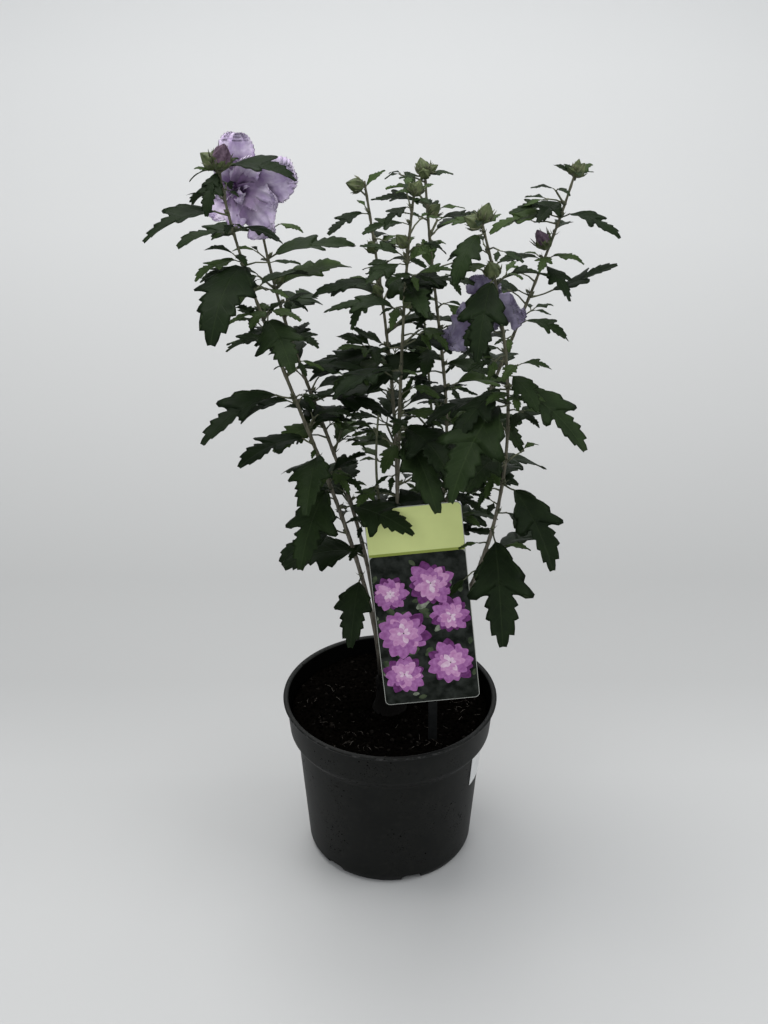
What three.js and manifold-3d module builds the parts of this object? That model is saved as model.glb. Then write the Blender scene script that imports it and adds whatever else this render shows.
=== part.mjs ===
// A rose of sharon (Hibiscus syriacus) in its nursery pot: seven canes from one
// short stump, each a bare bough below and a leafy mass above, with a plant label.
// Millimetres and degrees, +Z up. The origin is the centre of the pot's flat
// underside, +X runs to the plant's right and +Y to its back.

import * as THREE from "three";
import { mergeVertices } from "three/addons/utils/BufferGeometryUtils.js";
import Module from "manifold-3d";

const wasm = await Module();
wasm.setup();

// ---------------------------------------------------------------- dimensions

const GAP = 0.3; // clearance between neighbouring pieces
const SOIL_LEVEL = 131;
const SOIL_EDGE = { drop: 2, inset: 5 }; // how the soil rounds off at the pot

const POT = {
  height: 143.4,
  rimRadius: 87,
  rimLip: 3,
  bandTop: 84.4, // outer radius just under the lip
  bandFoot: 81.6, // outer radius where the band steps in
  bandLevel: 112,
  ledge: 3,
  wallTop: 75.8, // outer wall radius under the band
  wallFoot: 67.2,
  footRadius: 64.2,
  footRound: 6,
  wall: 1.8,
  floor: 2.2,
  sides: 48,
};
const NOTCH = { count: 6, first: -44, width: 17, height: 6.5, depth: 9 };

const TRUNK = { height: 29, flare: 17, neck: 11.2, top: 12.2, lean: 1.5, sides: 12 };

const CANE = { footRadius: 8.6, footHeight: 158, tipRadius: 1.1, sides: 6 };

const LABEL = {
  width: 75,
  height: 169,
  thickness: 0.8,
  corner: 4,
  stemWidth: 7,
  stemThickness: 2.4,
  stemBacking: 0.3, // share of the card that the stem backs
  buried: 22,
  foot: [33.9, -45.8], // where the stem enters the soil
  shown: 35.3, // stem between soil and card
  leanBack: 7.5,
  leanLeft: 6, // of the card on its stem
};

const STICKER = { width: 42, height: 29, thickness: 0.4, level: 77, turn: -12 };

// Half of a leaf's edge from its base to its tip: share of the length along the
// rib, and share of the length out from it. One side lobe, then the middle lobe.
const LEAF = {
  edge: [
    [0.3, 0.25],
    [0.44, 0.34],
    [0.52, 0.17],
    [0.74, 0.16],
  ],
  ribs: [0.35],
};
const PETAL = {
  edge: [
    [0.25, 0.12],
    [0.6, 0.34],
    [0.9, 0.3],
  ],
  ribs: [0.35, 0.7],
};
const BLADE = {
  thickness: 1 / 40, // of the length, at the rib
  fold: 0.25,
  curl: 0.9,
  nod: 0.22, // share of the whole bend that each end of the rib leaves out
};
const STALK = { radius: 0.8, share: 0.2, sunk: 1.5 };

// The rule by which leaves follow each other up a cane.
const LEAFING = {
  first: 0.22, // share of the cane where the leafy mass begins
  bare: 0.02, // share of the cane left bare above that
  last: 0.97,
  spacing: 23,
  turn: 144,
  wander: 40,
  longest: 62,
  youngest: 0.5, // how much shorter the leaves are at the tip
  spurs: 0.4, // share of the leaf axils that carry a spur
  leadWidth: 0.74, // of the widest leaf, for the leading leaves
};
const SPUR = { shortest: 10, longest: 25, rise: 45, radius: 0.9 };
const SHOOT = { first: 0.15, leafShare: 0.6, footRadius: 1.3, tipRadius: 0.8 };
const BUD = { neck: 1 };

// A bloom's cup and its two whorls of petals, in shares of the bloom's radius.
const BLOOM = {
  neckRadius: 1.2,
  cup: { radius: 0.16, stretch: 1.4, level: 0.1 },
  whorls: [
    { count: 5, turn: 0, reach: 1.15, rise: 60, droop: -5, roll: 22, width: 1 },
    { count: 3, turn: 60, reach: 0.8, rise: 85, droop: -50, roll: 22, width: 0.8 },
  ],
};

// Each cane: where it leaves the stump, the two points that bend it, its tip, its
// foot radius, and the seed and first direction of its leaves. "leads" are its
// largest and outermost leaves: share of the cane, direction, length, rise at
// the base and droop at the tip. "buds" and "blooms" are placed the same way, and
// "first" is the turn of a bloom's first petal.
const CANES = [
  {
    name: "left_outer",
    foot: 207,
    low: [-9, -11, 297],
    high: [-108, -20, 488],
    tip: [-119, -25, 608],
    girth: 2.5,
    seed: 456,
    start: 60,
    leads: [
      { at: 0.99, turn: -107, length: 24, rise: 10, droop: 75 },
      { at: 0.99, turn: 170, length: 21, rise: 20, droop: 80 },
      { at: 0.99, turn: -24, length: 51, rise: 35, droop: 45 },
      { at: 0.92, turn: 209, length: 57, rise: 25, droop: 50 },
      { at: 0.83, turn: 215, length: 31, rise: 20, droop: 40 },
      { at: 0.82, turn: 255, length: 82, rise: 45, droop: 88, stalk: 12 },
      { at: 0.7, turn: 214, length: 33, rise: 30, droop: 40 },
      { at: 0.59, turn: 217, length: 70, rise: 25, droop: 60, stalk: 18 },
      { at: 0.53, turn: 28, length: 36, rise: 30, droop: 20 },
      { at: 0.5, turn: 219, length: 60, rise: 40, droop: 50 },
      { at: 0.45, turn: 213, length: 22, rise: 10, droop: 60 },
      { at: 0.43, turn: 32, length: 31, rise: 45, droop: 20 },
      { at: 0.41, turn: 251, length: 72, rise: 20, droop: 80, stalk: 11 },
      { at: 0.23, turn: 262, length: 58, rise: 10, droop: 75 },
    ],
    buds: [
      { at: 0.995, turn: 170, rise: 40, length: 15, radius: 6 },
      { at: 0.995, turn: 300, rise: 65, length: 22, radius: 7 },
      { at: 0.78, turn: 200, rise: 50, length: 12, radius: 4 },
    ],
    blooms: [],
    shoots: [],
  },
  {
    name: "left_inner",
    foot: 150,
    low: [-13, 14, 343],
    high: [-81, 24, 411],
    tip: [-97, 32, 560],
    girth: 2.3,
    seed: 885,
    start: 195,
    leads: [
      { at: 0.93, turn: 201, length: 57, rise: 35, droop: 45 },
      { at: 0.89, turn: 13, length: 61, rise: 28, droop: 28, stalk: 6 },
      { at: 0.83, turn: 23, length: 56, rise: 40, droop: 30, stalk: 6 },
      { at: 0.8, turn: 22, length: 21, rise: 30, droop: 10 },
      { at: 0.75, turn: 210, length: 33, rise: 30, droop: 40 },
      { at: 0.62, turn: 27, length: 34, rise: 30, droop: 20 },
      { at: 0.39, turn: -3, length: 31, rise: 40, droop: 30 },
    ],
    buds: [{ at: 0.84, turn: 0, rise: 50, length: 10, radius: 3.5 }],
    blooms: [
      { at: 0.995, turn: 195, rise: 45, stalk: 18, facing: [-0.15, -0.95, 0.3], first: 12, radius: 44 },
    ],
    shoots: [],
  },
  {
    name: "back_left",
    foot: 98,
    low: [14, 11, 343],
    high: [1, 20, 444],
    tip: [-19, 25, 577],
    girth: 2.2,
    seed: 139,
    start: 290,
    leads: [
      { at: 0.81, turn: 194, length: 44, rise: 20, droop: 40 },
      { at: 0.8, turn: 228, length: 34, rise: 0, droop: 80 },
      { at: 0.69, turn: 165, length: 26, rise: 30, droop: -10 },
      { at: 0.68, turn: 211, length: 65, rise: 25, droop: 40, stalk: 6 },
      { at: 0.6, turn: 183, length: 58, rise: 30, droop: 40, stalk: 6 },
    ],
    buds: [
      { at: 0.99, turn: 190, rise: 15, length: 13, radius: 5 },
      { at: 0.87, turn: 240, rise: 50, length: 14, radius: 4 },
      { at: 0.79, turn: 220, rise: 50, length: 11, radius: 4 },
    ],
    blooms: [],
    shoots: [],
  },
  {
    name: "front_middle",
    foot: 265,
    low: [8, -5, 294],
    high: [3, -22, 470],
    tip: [16, -30, 591],
    girth: 2.2,
    seed: 207,
    start: 300,
    leads: [
      { at: 0.97, turn: 225, length: 26, rise: 30, droop: 70 },
      { at: 0.88, turn: 164, length: 30, rise: 30, droop: 20 },
      { at: 0.87, turn: 48, length: 34, rise: 30, droop: 20, stalk: 3 },
      { at: 0.87, turn: 223, length: 36, rise: 20, droop: 40 },
      { at: 0.82, turn: -10, length: 44, rise: 40, droop: 30 },
      { at: 0.6, turn: 51, length: 19, rise: 40, droop: -60 },
      { at: 0.59, turn: 34, length: 44, rise: 20, droop: 10 },
      { at: 0.58, turn: -18, length: 33, rise: 30, droop: 40 },
      { at: 0.54, turn: -69, length: 70, rise: 20, droop: 80 },
      { at: 0.52, turn: 250, length: 31, rise: 25, droop: 60 },
    ],
    buds: [
      { at: 0.99, turn: 0, rise: 70, length: 12, radius: 4.5 },
      { at: 0.9, turn: 190, rise: 50, length: 12, radius: 4.5 },
      { at: 0.79, turn: -20, rise: 50, length: 12, radius: 4.5 },
    ],
    blooms: [],
    shoots: [{ at: 0.3, bend: [-16, -7, 325], tip: [-9, -20, 411], seed: 5, start: 90 }],
  },
  {
    name: "middle",
    foot: 5,
    low: [67, 4, 391],
    high: [35, 8, 412],
    tip: [24, 10, 591],
    girth: 2.1,
    seed: 622,
    start: 255,
    leads: [
      { at: 0.82, turn: 107, length: 24, rise: 40, droop: -30 },
      { at: 0.66, turn: 173, length: 26, rise: 40, droop: 10 },
      { at: 0.65, turn: -37, length: 44, rise: 30, droop: 30, stalk: 4 },
      { at: 0.54, turn: 19, length: 23, rise: 40, droop: 20 },
      { at: 0.51, turn: -87, length: 58, rise: 30, droop: 80, stalk: 9 },
      { at: 0.4, turn: -32, length: 30, rise: 20, droop: 50 },
    ],
    buds: [
      { at: 0.99, turn: 120, rise: 60, length: 12, radius: 5 },
      { at: 0.99, turn: 260, rise: 40, length: 10, radius: 4 },
      { at: 0.92, turn: -10, rise: 50, length: 12, radius: 4.5 },
    ],
    blooms: [],
    shoots: [{ at: 0.35, bend: [33, 40, 370], tip: [23, 52, 488], seed: 8, start: 30 }],
  },
  {
    name: "right_outer",
    foot: 50,
    low: [22, 25, 287],
    high: [106, 44, 461],
    tip: [135, 55, 572],
    girth: 2.3,
    seed: 734,
    start: 285,
    leads: [
      { at: 0.93, turn: 199, length: 36, rise: 30, droop: 30 },
      { at: 0.92, turn: -37, length: 45, rise: 30, droop: 55 },
      { at: 0.92, turn: 191, length: 47, rise: 20, droop: 50 },
      { at: 0.84, turn: 187, length: 31, rise: 25, droop: 40 },
      { at: 0.77, turn: -3, length: 52, rise: 20, droop: -30, stalk: 18 },
    ],
    buds: [
      { at: 0.99, turn: 20, rise: 50, length: 12, radius: 4.5 },
      { at: 0.86, turn: 200, rise: 60, length: 18, radius: 6 },
    ],
    blooms: [],
    shoots: [],
  },
  {
    name: "right_inner",
    foot: 315,
    low: [99, -22, 275],
    high: [101, -40, 430],
    tip: [62, -50, 577],
    girth: 2.3,
    seed: 776,
    start: 240,
    leads: [
      { at: 0.99, turn: 170, length: 28, rise: 35, droop: 60 },
      { at: 0.98, turn: 238, length: 42, rise: 10, droop: 85 },
      { at: 0.9, turn: -102, length: 64, rise: 10, droop: 88, stalk: 14 },
      { at: 0.92, turn: 212, length: 27, rise: 20, droop: 30 },
      { at: 0.69, turn: -40, length: 69, rise: 15, droop: 65, stalk: 10 },
      { at: 0.69, turn: 228, length: 59, rise: 20, droop: 70, stalk: 9 },
      { at: 0.66, turn: 241, length: 89, rise: 20, droop: 80 },
      { at: 0.54, turn: 236, length: 28, rise: 0, droop: 80 },
      { at: 0.5, turn: -64, length: 72, rise: 10, droop: 75, stalk: 18 },
      { at: 0.4, turn: -88, length: 86, rise: 10, droop: 85, stalk: 26 },
    ],
    buds: [
      { at: 0.995, turn: 0, rise: 75, length: 15, radius: 5 },
      { at: 0.99, turn: 180, rise: 30, length: 14, radius: 5 },
      { at: 0.9, turn: 240, rise: 60, length: 15, radius: 5.5 },
    ],
    blooms: [
      { at: 0.8, turn: 111, rise: 25, stalk: 24, facing: [-0.55, -0.8, 0.15], first: 60, radius: 36 },
    ],
    shoots: [],
  },
];

// ---------------------------------------------------------------- solids

const UP = new THREE.Vector3(0, 0, 1);
const ACROSS = new THREE.Vector3(0, 1, 0);
const ASIDE = new THREE.Vector3(1, 0, 0);
const { degToRad, lerp } = THREE.MathUtils;

function solidOf(geometry) {
  const bare = geometry.clone();
  bare.deleteAttribute("normal");
  bare.deleteAttribute("uv");
  const merged = mergeVertices(bare, 1e-4);
  return new wasm.Manifold(
    new wasm.Mesh({
      numProp: 3,
      vertProperties: new Float32Array(merged.attributes.position.array),
      triVerts: new Uint32Array(merged.index.array),
    }),
  );
}

function geometryOf(solid) {
  const mesh = solid.getMesh();
  const geometry = new THREE.BufferGeometry();
  geometry.setAttribute("position", new THREE.BufferAttribute(mesh.vertProperties, 3));
  geometry.setIndex(new THREE.BufferAttribute(mesh.triVerts, 1));
  geometry.computeVertexNormals();
  return geometry;
}

// Joins solids into one body; a scrap that touches nothing is dropped.
function fuse(solids) {
  const bodies = wasm.Manifold.union(solids).simplify(0.01).decompose();
  return bodies.reduce((a, b) => (a.volume() > b.volume() ? a : b));
}

// Mulberry32: the same numbers from the same seed, from 0 to 1.
function seededRandom(seed) {
  let state = seed >>> 0;
  return () => {
    state = (state + 0x6d2b79f5) >>> 0;
    let t = state;
    t = Math.imul(t ^ (t >>> 15), t | 1);
    t ^= t + Math.imul(t ^ (t >>> 7), t | 61);
    return ((t ^ (t >>> 14)) >>> 0) / 4294967296;
  };
}

// A unit vector from a direction round the plant and a rise above the horizon.
function heading(turn, rise) {
  const level = Math.cos(degToRad(rise));
  return new THREE.Vector3(
    level * Math.cos(degToRad(turn)),
    level * Math.sin(degToRad(turn)),
    Math.sin(degToRad(rise)),
  );
}

// A closed limb with flat ends on the stretch from..to of a curve: a cylinder
// whose rings are set square to the curve, with a radius that follows the share.
function limb(curve, from, to, radius, sides, pieces) {
  const geometry = new THREE.CylinderGeometry(1, 1, 1, sides, pieces);
  const place = geometry.attributes.position;
  const ring = new THREE.Vector3();
  for (let i = 0; i < place.count; i++) {
    ring.fromBufferAttribute(place, i);
    const share = lerp(from, to, ring.y + 0.5);
    const along = curve.getTangentAt(share);
    const reference = Math.abs(along.y) < 0.9 ? ACROSS : ASIDE;
    const side = new THREE.Vector3().crossVectors(along, reference).normalize();
    const front = new THREE.Vector3().crossVectors(side, along);
    const point = curve.getPointAt(share);
    point.addScaledVector(side, ring.x * radius(share));
    point.addScaledVector(front, ring.z * radius(share));
    place.setXYZ(i, point.x, point.y, point.z);
  }
  return solidOf(geometry);
}

// ---------------------------------------------------------------- pot and soil

function lathe(profile) {
  const points = profile.map(([radius, level]) => new THREE.Vector2(radius, level));
  return solidOf(new THREE.LatheGeometry(points, POT.sides).rotateX(Math.PI / 2));
}

function makePot() {
  const bandInner = POT.bandLevel + POT.ledge;
  const shell = lathe([
    [0, 0],
    [POT.footRadius, 0],
    [POT.wallFoot, POT.footRound],
    [POT.wallTop, POT.bandLevel - POT.ledge],
    [POT.bandFoot - 1, POT.bandLevel - 1],
    [POT.bandFoot, POT.bandLevel],
    [POT.bandTop, POT.height - POT.rimLip],
    [POT.rimRadius, POT.height - POT.rimLip + 1],
    [POT.rimRadius, POT.height],
    [POT.bandTop - POT.wall, POT.height],
    [POT.bandFoot - POT.wall, bandInner],
    [POT.wallTop - POT.wall, POT.bandLevel],
    [POT.wallFoot - POT.wall, POT.footRound],
    [POT.footRadius - POT.wall, POT.floor],
    [0, POT.floor],
  ]);
  return shell.subtract(wasm.Manifold.union(notchBlocks(0)));
}

// The blocks that cut the drain notches out of the foot, wider by a margin.
function notchBlocks(margin) {
  const blocks = [];
  for (let i = 0; i < NOTCH.count; i++) {
    const turn = degToRad(-90 + NOTCH.first + (i * 360) / NOTCH.count);
    const depth = NOTCH.depth + margin;
    const height = NOTCH.height + margin;
    const block = new THREE.BoxGeometry(2 * depth, NOTCH.width + 2 * margin, 2 * height);
    block.translate(POT.wallFoot, 0, 0).rotateZ(turn);
    blocks.push(solidOf(block));
  }
  return blocks;
}

function makeSoil(cutters) {
  const inset = POT.wall + GAP;
  const plug = lathe([
    [0, POT.floor + GAP],
    [POT.footRadius - inset - 1, POT.floor + GAP],
    [POT.wallFoot - inset, POT.footRound + 1],
    [POT.wallTop - inset, POT.bandLevel + GAP],
    [POT.bandFoot - inset, POT.bandLevel + POT.ledge + 1],
    [POT.bandFoot - inset + 1, SOIL_LEVEL - SOIL_EDGE.drop],
    [POT.bandFoot - inset + 1 - SOIL_EDGE.inset, SOIL_LEVEL],
    [0, SOIL_LEVEL],
  ]);
  return plug.subtract(wasm.Manifold.union(cutters));
}

// ---------------------------------------------------------------- label and sticker

// The label's own frame: its foot where the stem enters the soil.
function labelFrame() {
  const frame = new THREE.Group();
  frame.position.set(LABEL.foot[0], LABEL.foot[1], SOIL_LEVEL);
  frame.rotation.x = degToRad(-LABEL.leanBack);
  frame.updateMatrixWorld(true);
  return frame;
}

function labelStem(margin) {
  const width = LABEL.stemWidth + 2 * margin;
  const thickness = LABEL.stemThickness + 2 * margin;
  const bottom = -LABEL.buried - margin;
  const top = LABEL.shown + LABEL.height * LABEL.stemBacking;
  const stem = new THREE.BoxGeometry(width, thickness, top - bottom);
  return stem.translate(0, LABEL.stemThickness / 2, (top + bottom) / 2);
}

function labelCard() {
  const half = LABEL.width / 2;
  const { corner, height } = LABEL;
  const card = new THREE.Shape();
  card.absarc(half - corner, corner, corner, -Math.PI / 2, 0);
  card.absarc(half - corner, height - corner, corner, 0, Math.PI / 2);
  card.absarc(corner - half, height - corner, corner, Math.PI / 2, Math.PI);
  card.absarc(corner - half, corner, corner, Math.PI, 1.5 * Math.PI);
  const sheet = new THREE.ExtrudeGeometry(card, {
    depth: LABEL.thickness,
    bevelEnabled: false,
    curveSegments: 3,
  });
  sheet.rotateX(Math.PI / 2).rotateY(degToRad(-LABEL.leanLeft));
  return sheet.translate(0, LABEL.thickness, LABEL.shown);
}

// A patch of film that follows the tapering wall.
function makeSticker() {
  const slope = (POT.wallTop - POT.wallFoot) / (POT.bandLevel - POT.ledge - POT.footRound);
  const inner = POT.wallFoot + slope * (STICKER.level - POT.footRound) + GAP;
  const spread = STICKER.width / inner / 2;
  const outline = new THREE.Shape();
  outline.absarc(0, 0, inner + STICKER.thickness, -spread, spread, false);
  outline.absarc(0, 0, inner, spread, -spread, true);
  const film = new THREE.ExtrudeGeometry(outline, {
    depth: STICKER.height,
    bevelEnabled: false,
    curveSegments: 6,
  });
  const place = film.attributes.position;
  for (let i = 0; i < place.count; i++) {
    const radius = Math.hypot(place.getX(i), place.getY(i));
    const wider = (radius + slope * place.getZ(i)) / radius;
    place.setXY(i, place.getX(i) * wider, place.getY(i) * wider);
  }
  return solidOf(film.translate(0, 0, STICKER.level).rotateZ(degToRad(STICKER.turn)));
}

// ---------------------------------------------------------------- blades

// The frame of a leaf or petal: a straight stalk, then a rib that bends evenly in
// one upright plane, from near the stalk's rise to near the droop.
class Blade {
  constructor({ root, turn, length, rise, droop, stalk, width = 1, roll = 0, nod = BLADE.nod }) {
    Object.assign(this, { root, length, width, roll: degToRad(roll) });
    this.ahead = heading(turn, 0);
    this.left = new THREE.Vector3().crossVectors(UP, this.ahead);
    this.base = root.clone().addScaledVector(heading(turn, rise), stalk);
    this.start = degToRad(lerp(rise, -droop, nod));
    this.bend = degToRad(-droop - rise) * (1 - 2 * nod);
  }

  // The point at a share along the rib, a share out from it and a height over it.
  point(along, out, over = 0) {
    const slant = this.start + this.bend * along;
    const level = (Math.sin(slant) - Math.sin(this.start)) / this.bend;
    const climb = (Math.cos(this.start) - Math.cos(slant)) / this.bend;
    const normal = this.ahead.clone().multiplyScalar(-Math.sin(slant));
    normal.addScaledVector(UP, Math.cos(slant));
    const side = this.left.clone().multiplyScalar(Math.cos(this.roll));
    side.addScaledVector(normal, Math.sin(this.roll));
    const face = normal.clone().multiplyScalar(Math.cos(this.roll));
    face.addScaledVector(this.left, -Math.sin(this.roll));
    const wide = out * this.width;
    const lift = BLADE.fold * Math.abs(wide) - BLADE.curl * wide * wide + over;
    return this.base
      .clone()
      .addScaledVector(this.ahead, level * this.length)
      .addScaledVector(UP, climb * this.length)
      .addScaledVector(side, wide * this.length)
      .addScaledVector(face, lift * this.length);
  }

  // A thin closed lens: two faces that share the edge and part at the rib. With
  // a stalk radius, its base is the far end of a three-sided stalk from the root.
  solid({ edge, ribs }, stalkRadius = 0) {
    const points = [];
    const add = (point, along = 0) => {
      points.push(point);
      return { along, index: points.length - 1 };
    };
    const under = stalkRadius / this.length;
    const aside = under / this.width;
    const corners = [this.point(0, aside), this.point(0, -aside), this.point(0, 0, -under)];
    const [left, right, below] = stalkRadius
      ? corners.map((corner) => add(corner))
      : Array(3).fill(add(this.base));
    const tip = add(this.point(1, 0), 1);
    const rim = (first, side) => [
      first,
      ...edge.map(([along, out]) => add(this.point(along, side * out), along)),
      tip,
    ];
    const rib = (over) => ribs.map((along) => add(this.point(along, 0, over), along));
    const upper = [...rib(BLADE.thickness / 2), tip];
    const lower = [below, ...rib(-BLADE.thickness / 2), tip];
    const leftRim = rim(left, 1);
    const rightRim = rim(right, -1);
    const faces = [
      ...strip(leftRim, [left, ...upper], false),
      ...strip(rightRim, [right, ...upper], true),
      ...strip(leftRim, lower, true),
      ...strip(rightRim, lower, false),
    ];
    if (stalkRadius) {
      const back = new THREE.Vector3().subVectors(this.root, this.base);
      const end = [left, right, below].map(({ index }) => add(points[index].clone().add(back)));
      faces.push(left.index, right.index, upper[0].index);
      faces.push(...tube([left, right, below], end));
    }
    const geometry = new THREE.BufferGeometry().setFromPoints(points);
    geometry.setIndex(faces);
    return solidOf(geometry);
  }
}

// The sides of a three-sided stalk and the cap on its root.
function tube(front, back) {
  const faces = [back[0].index, back[2].index, back[1].index];
  for (let i = 0; i < 3; i++) {
    const j = (i + 1) % 3;
    faces.push(back[i].index, back[j].index, front[j].index);
    faces.push(back[i].index, front[j].index, front[i].index);
  }
  return faces;
}

// Triangles between an edge and a rib that share their first and last points.
function strip(edge, rib, turned) {
  const faces = [];
  let e = 0;
  let r = 0;
  while (e < edge.length - 1 || r < rib.length - 1) {
    const ribDone = r === rib.length - 1;
    const edgeNext = e < edge.length - 1 && (ribDone || edge[e + 1].along <= rib[r + 1].along);
    const next = edgeNext ? edge[e + 1].index : rib[r + 1].index;
    const face = [rib[r].index, next, edge[e].index];
    if (new Set(face).size === 3) {
      faces.push(...(turned ? face.reverse() : face));
    }
    if (edgeNext) {
      e += 1;
    } else {
      r += 1;
    }
  }
  return faces;
}

// ---------------------------------------------------------------- growing

const standing = []; // every solid already placed, with its box and its node

function place(solid, node) {
  standing.push({ solid, node, box: solid.boundingBox() });
  return solid;
}

function apart(a, b) {
  return [0, 1, 2].some((k) => a.min[k] > b.max[k] + GAP || b.min[k] > a.max[k] + GAP);
}

// Whether a solid keeps its clearance to everything standing, bar one node.
function isClear(solid, except) {
  const box = solid.boundingBox();
  return standing.every(
    (other) => other.node === except || apart(box, other.box) || solid.minGap(other.solid, 1) > GAP,
  );
}

// A leaf on its stalk, or nothing where it would touch what already stands.
function growLeaf(spec, node) {
  const blade = new Blade({ stalk: STALK.share * spec.length, ...spec });
  const leaf = blade.solid(LEAF, STALK.radius);
  return isClear(blade.solid(LEAF), null) && isClear(leaf, node) ? [place(leaf, node)] : [];
}

// A spur in a leaf's axil with a pair of smaller leaves at its end.
function growSpur(root, turn, spread, size, rise, droop, length, node) {
  const way = heading(turn, SPUR.rise);
  const tip = root.clone().addScaledVector(way, length);
  const twig = limb(new THREE.LineCurve3(root, tip), 0, 1, () => SPUR.radius, 3, 1);
  if (!isClear(twig, node)) {
    return [];
  }
  const leaves = [-1, 1].flatMap((side) =>
    growLeaf(
      {
        root: tip.clone().addScaledVector(way, -STALK.sunk),
        turn: turn + side * spread,
        length: size,
        rise: rise + 15,
        droop: droop - 10,
        width: 0.7,
        stalk: 0.15 * size,
      },
      node,
    ),
  );
  return leaves.length > 0 ? [place(twig, node), ...leaves] : [];
}

// Leaves by the seeded rule along the stretch first..last of a stem.
function growFoliage(curve, { seed, start }, first, longest, node) {
  const random = seededRandom(seed);
  const count = Math.floor(((LEAFING.last - first) * curve.getLength()) / LEAFING.spacing);
  const grown = [];
  for (let i = 0; i < count; i++) {
    const chance = Array.from({ length: 12 }, random);
    const at = first + ((i + 0.5) / count) * (LEAFING.last - first);
    const root = curve.getPointAt(at);
    const turn = start + i * LEAFING.turn + LEAFING.wander * (chance[0] - 0.5);
    const length = longest * (1 - LEAFING.youngest * at * at) * lerp(0.75, 1.25, chance[1]);
    const rise = lerp(15, 40, chance[2]);
    const droop = lerp(30, 75, chance[3]);
    const width = lerp(0.6, 1, chance[4]);
    const roll = lerp(-15, 15, chance[5]);
    grown.push(...growLeaf({ root, turn, length, rise, droop, width, roll }, node));
    if (chance[6] < LEAFING.spurs) {
      const spurTurn = turn + lerp(-15, 15, chance[7]);
      const reach = lerp(SPUR.shortest, SPUR.longest, chance[8]);
      const spread = lerp(40, 70, chance[9]);
      const size = length * lerp(0.45, 0.65, chance[10]);
      grown.push(...growSpur(root, spurTurn, spread, size, rise, droop, reach, node));
    }
  }
  return grown;
}

function growBud(curve, { at, turn, rise, length, radius }, node) {
  const root = curve.getPointAt(at);
  const out = heading(turn, rise);
  const bud = new THREE.SphereGeometry(1, 5, 3).rotateX(Math.PI / 2);
  bud.scale(radius, radius, length / 2);
  bud.applyQuaternion(new THREE.Quaternion().setFromUnitVectors(UP, out));
  const middle = root.clone().addScaledVector(out, length / 2 + BUD.neck);
  const solid = solidOf(bud.translate(middle.x, middle.y, middle.z));
  return isClear(solid, node) ? [place(solid, node)] : [];
}

// A loose, half-double flower on its stalk: broad petals that overlap like a
// pinwheel round a few short, upright ones.
function growBloom(curve, { at, turn, rise, stalk, facing, first, radius }, node) {
  const root = curve.getPointAt(at);
  const centre = root.clone().addScaledVector(heading(turn, rise), stalk);
  const neck = limb(new THREE.LineCurve3(root, centre), 0, 1, () => BLOOM.neckRadius, 4, 1);
  const axis = new THREE.Vector3(...facing).normalize();
  const turned = new THREE.Quaternion().setFromUnitVectors(UP, axis);
  const frame = new THREE.Matrix4().compose(centre, turned, new THREE.Vector3(1, 1, 1));
  const { cup } = BLOOM;
  const ball = new THREE.SphereGeometry(cup.radius * radius, 6, 4).scale(1, 1, cup.stretch);
  const pieces = [neck, solidOf(ball.translate(0, 0, cup.level * radius).applyMatrix4(frame))];
  for (const whorl of BLOOM.whorls) {
    for (let i = 0; i < whorl.count; i++) {
      const petal = new Blade({
        ...whorl,
        root: new THREE.Vector3(0, 0, 0),
        turn: first + whorl.turn + (i * 360) / whorl.count,
        length: whorl.reach * radius,
        stalk: 0,
        nod: 0,
      });
      pieces.push(petal.solid(PETAL).transform(frame.elements));
    }
  }
  return [place(wasm.Manifold.union(pieces), node)];
}

// ---------------------------------------------------------------- canes

function caneCurve({ foot, low, high, tip }) {
  const base = heading(foot, 0).multiplyScalar(CANE.footRadius);
  base.z = CANE.footHeight;
  return new THREE.CubicBezierCurve3(
    base,
    new THREE.Vector3(...low),
    new THREE.Vector3(...high),
    new THREE.Vector3(...tip),
  );
}

function caneRadius({ girth }) {
  return (share) => lerp(girth, CANE.tipRadius, share);
}

function shootCurve(parent, { at, bend, tip }) {
  return new THREE.QuadraticBezierCurve3(
    parent.getPointAt(at),
    new THREE.Vector3(...bend),
    new THREE.Vector3(...tip),
  );
}

// The stump: wide on the soil, drawn in, and wider again where the canes part.
function makeTrunk(margin) {
  const base = SOIL_LEVEL + GAP;
  const path = new THREE.QuadraticBezierCurve3(
    new THREE.Vector3(0, 0, base),
    new THREE.Vector3(0, 0, base + TRUNK.height / 2),
    new THREE.Vector3(TRUNK.lean, 0, base + TRUNK.height + margin),
  );
  const radius = (share) => {
    const flare = (TRUNK.flare - TRUNK.neck) * (1 - share) ** 4;
    const crown = (TRUNK.top - TRUNK.neck) * share ** 2;
    return TRUNK.neck + flare + crown + margin;
  };
  return limb(path, 0, 1, radius, TRUNK.sides, 5);
}

function makeBough(cane, curve, trunkSpace) {
  const whole = limb(curve, 0, LEAFING.first, caneRadius(cane), CANE.sides, 4);
  return whole.subtract(trunkSpace);
}

// ---------------------------------------------------------------- assembly

const MATERIALS = {
  pot: new THREE.MeshStandardMaterial({ color: 0x26282a, roughness: 0.6 }),
  soil: new THREE.MeshStandardMaterial({ color: 0x14110e, roughness: 1 }),
  bark: new THREE.MeshStandardMaterial({ color: 0x6b6455, roughness: 0.9 }),
  foliage: new THREE.MeshStandardMaterial({ color: 0x25381c, roughness: 0.6 }),
  label: new THREE.MeshStandardMaterial({ color: 0xb5c46a, roughness: 0.4 }),
  sticker: new THREE.MeshStandardMaterial({ color: 0xf2f2f0, roughness: 0.6 }),
};

const plant = new THREE.Group();

function addNode(name, solid, material, parent = plant) {
  const mesh = new THREE.Mesh(geometryOf(solid), material);
  mesh.name = name;
  parent.add(mesh);
}

const frame = labelFrame();
const stemSlot = solidOf(labelStem(GAP).applyMatrix4(frame.matrixWorld));
const label = fuse([solidOf(labelStem(0)), solidOf(labelCard())]);

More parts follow.
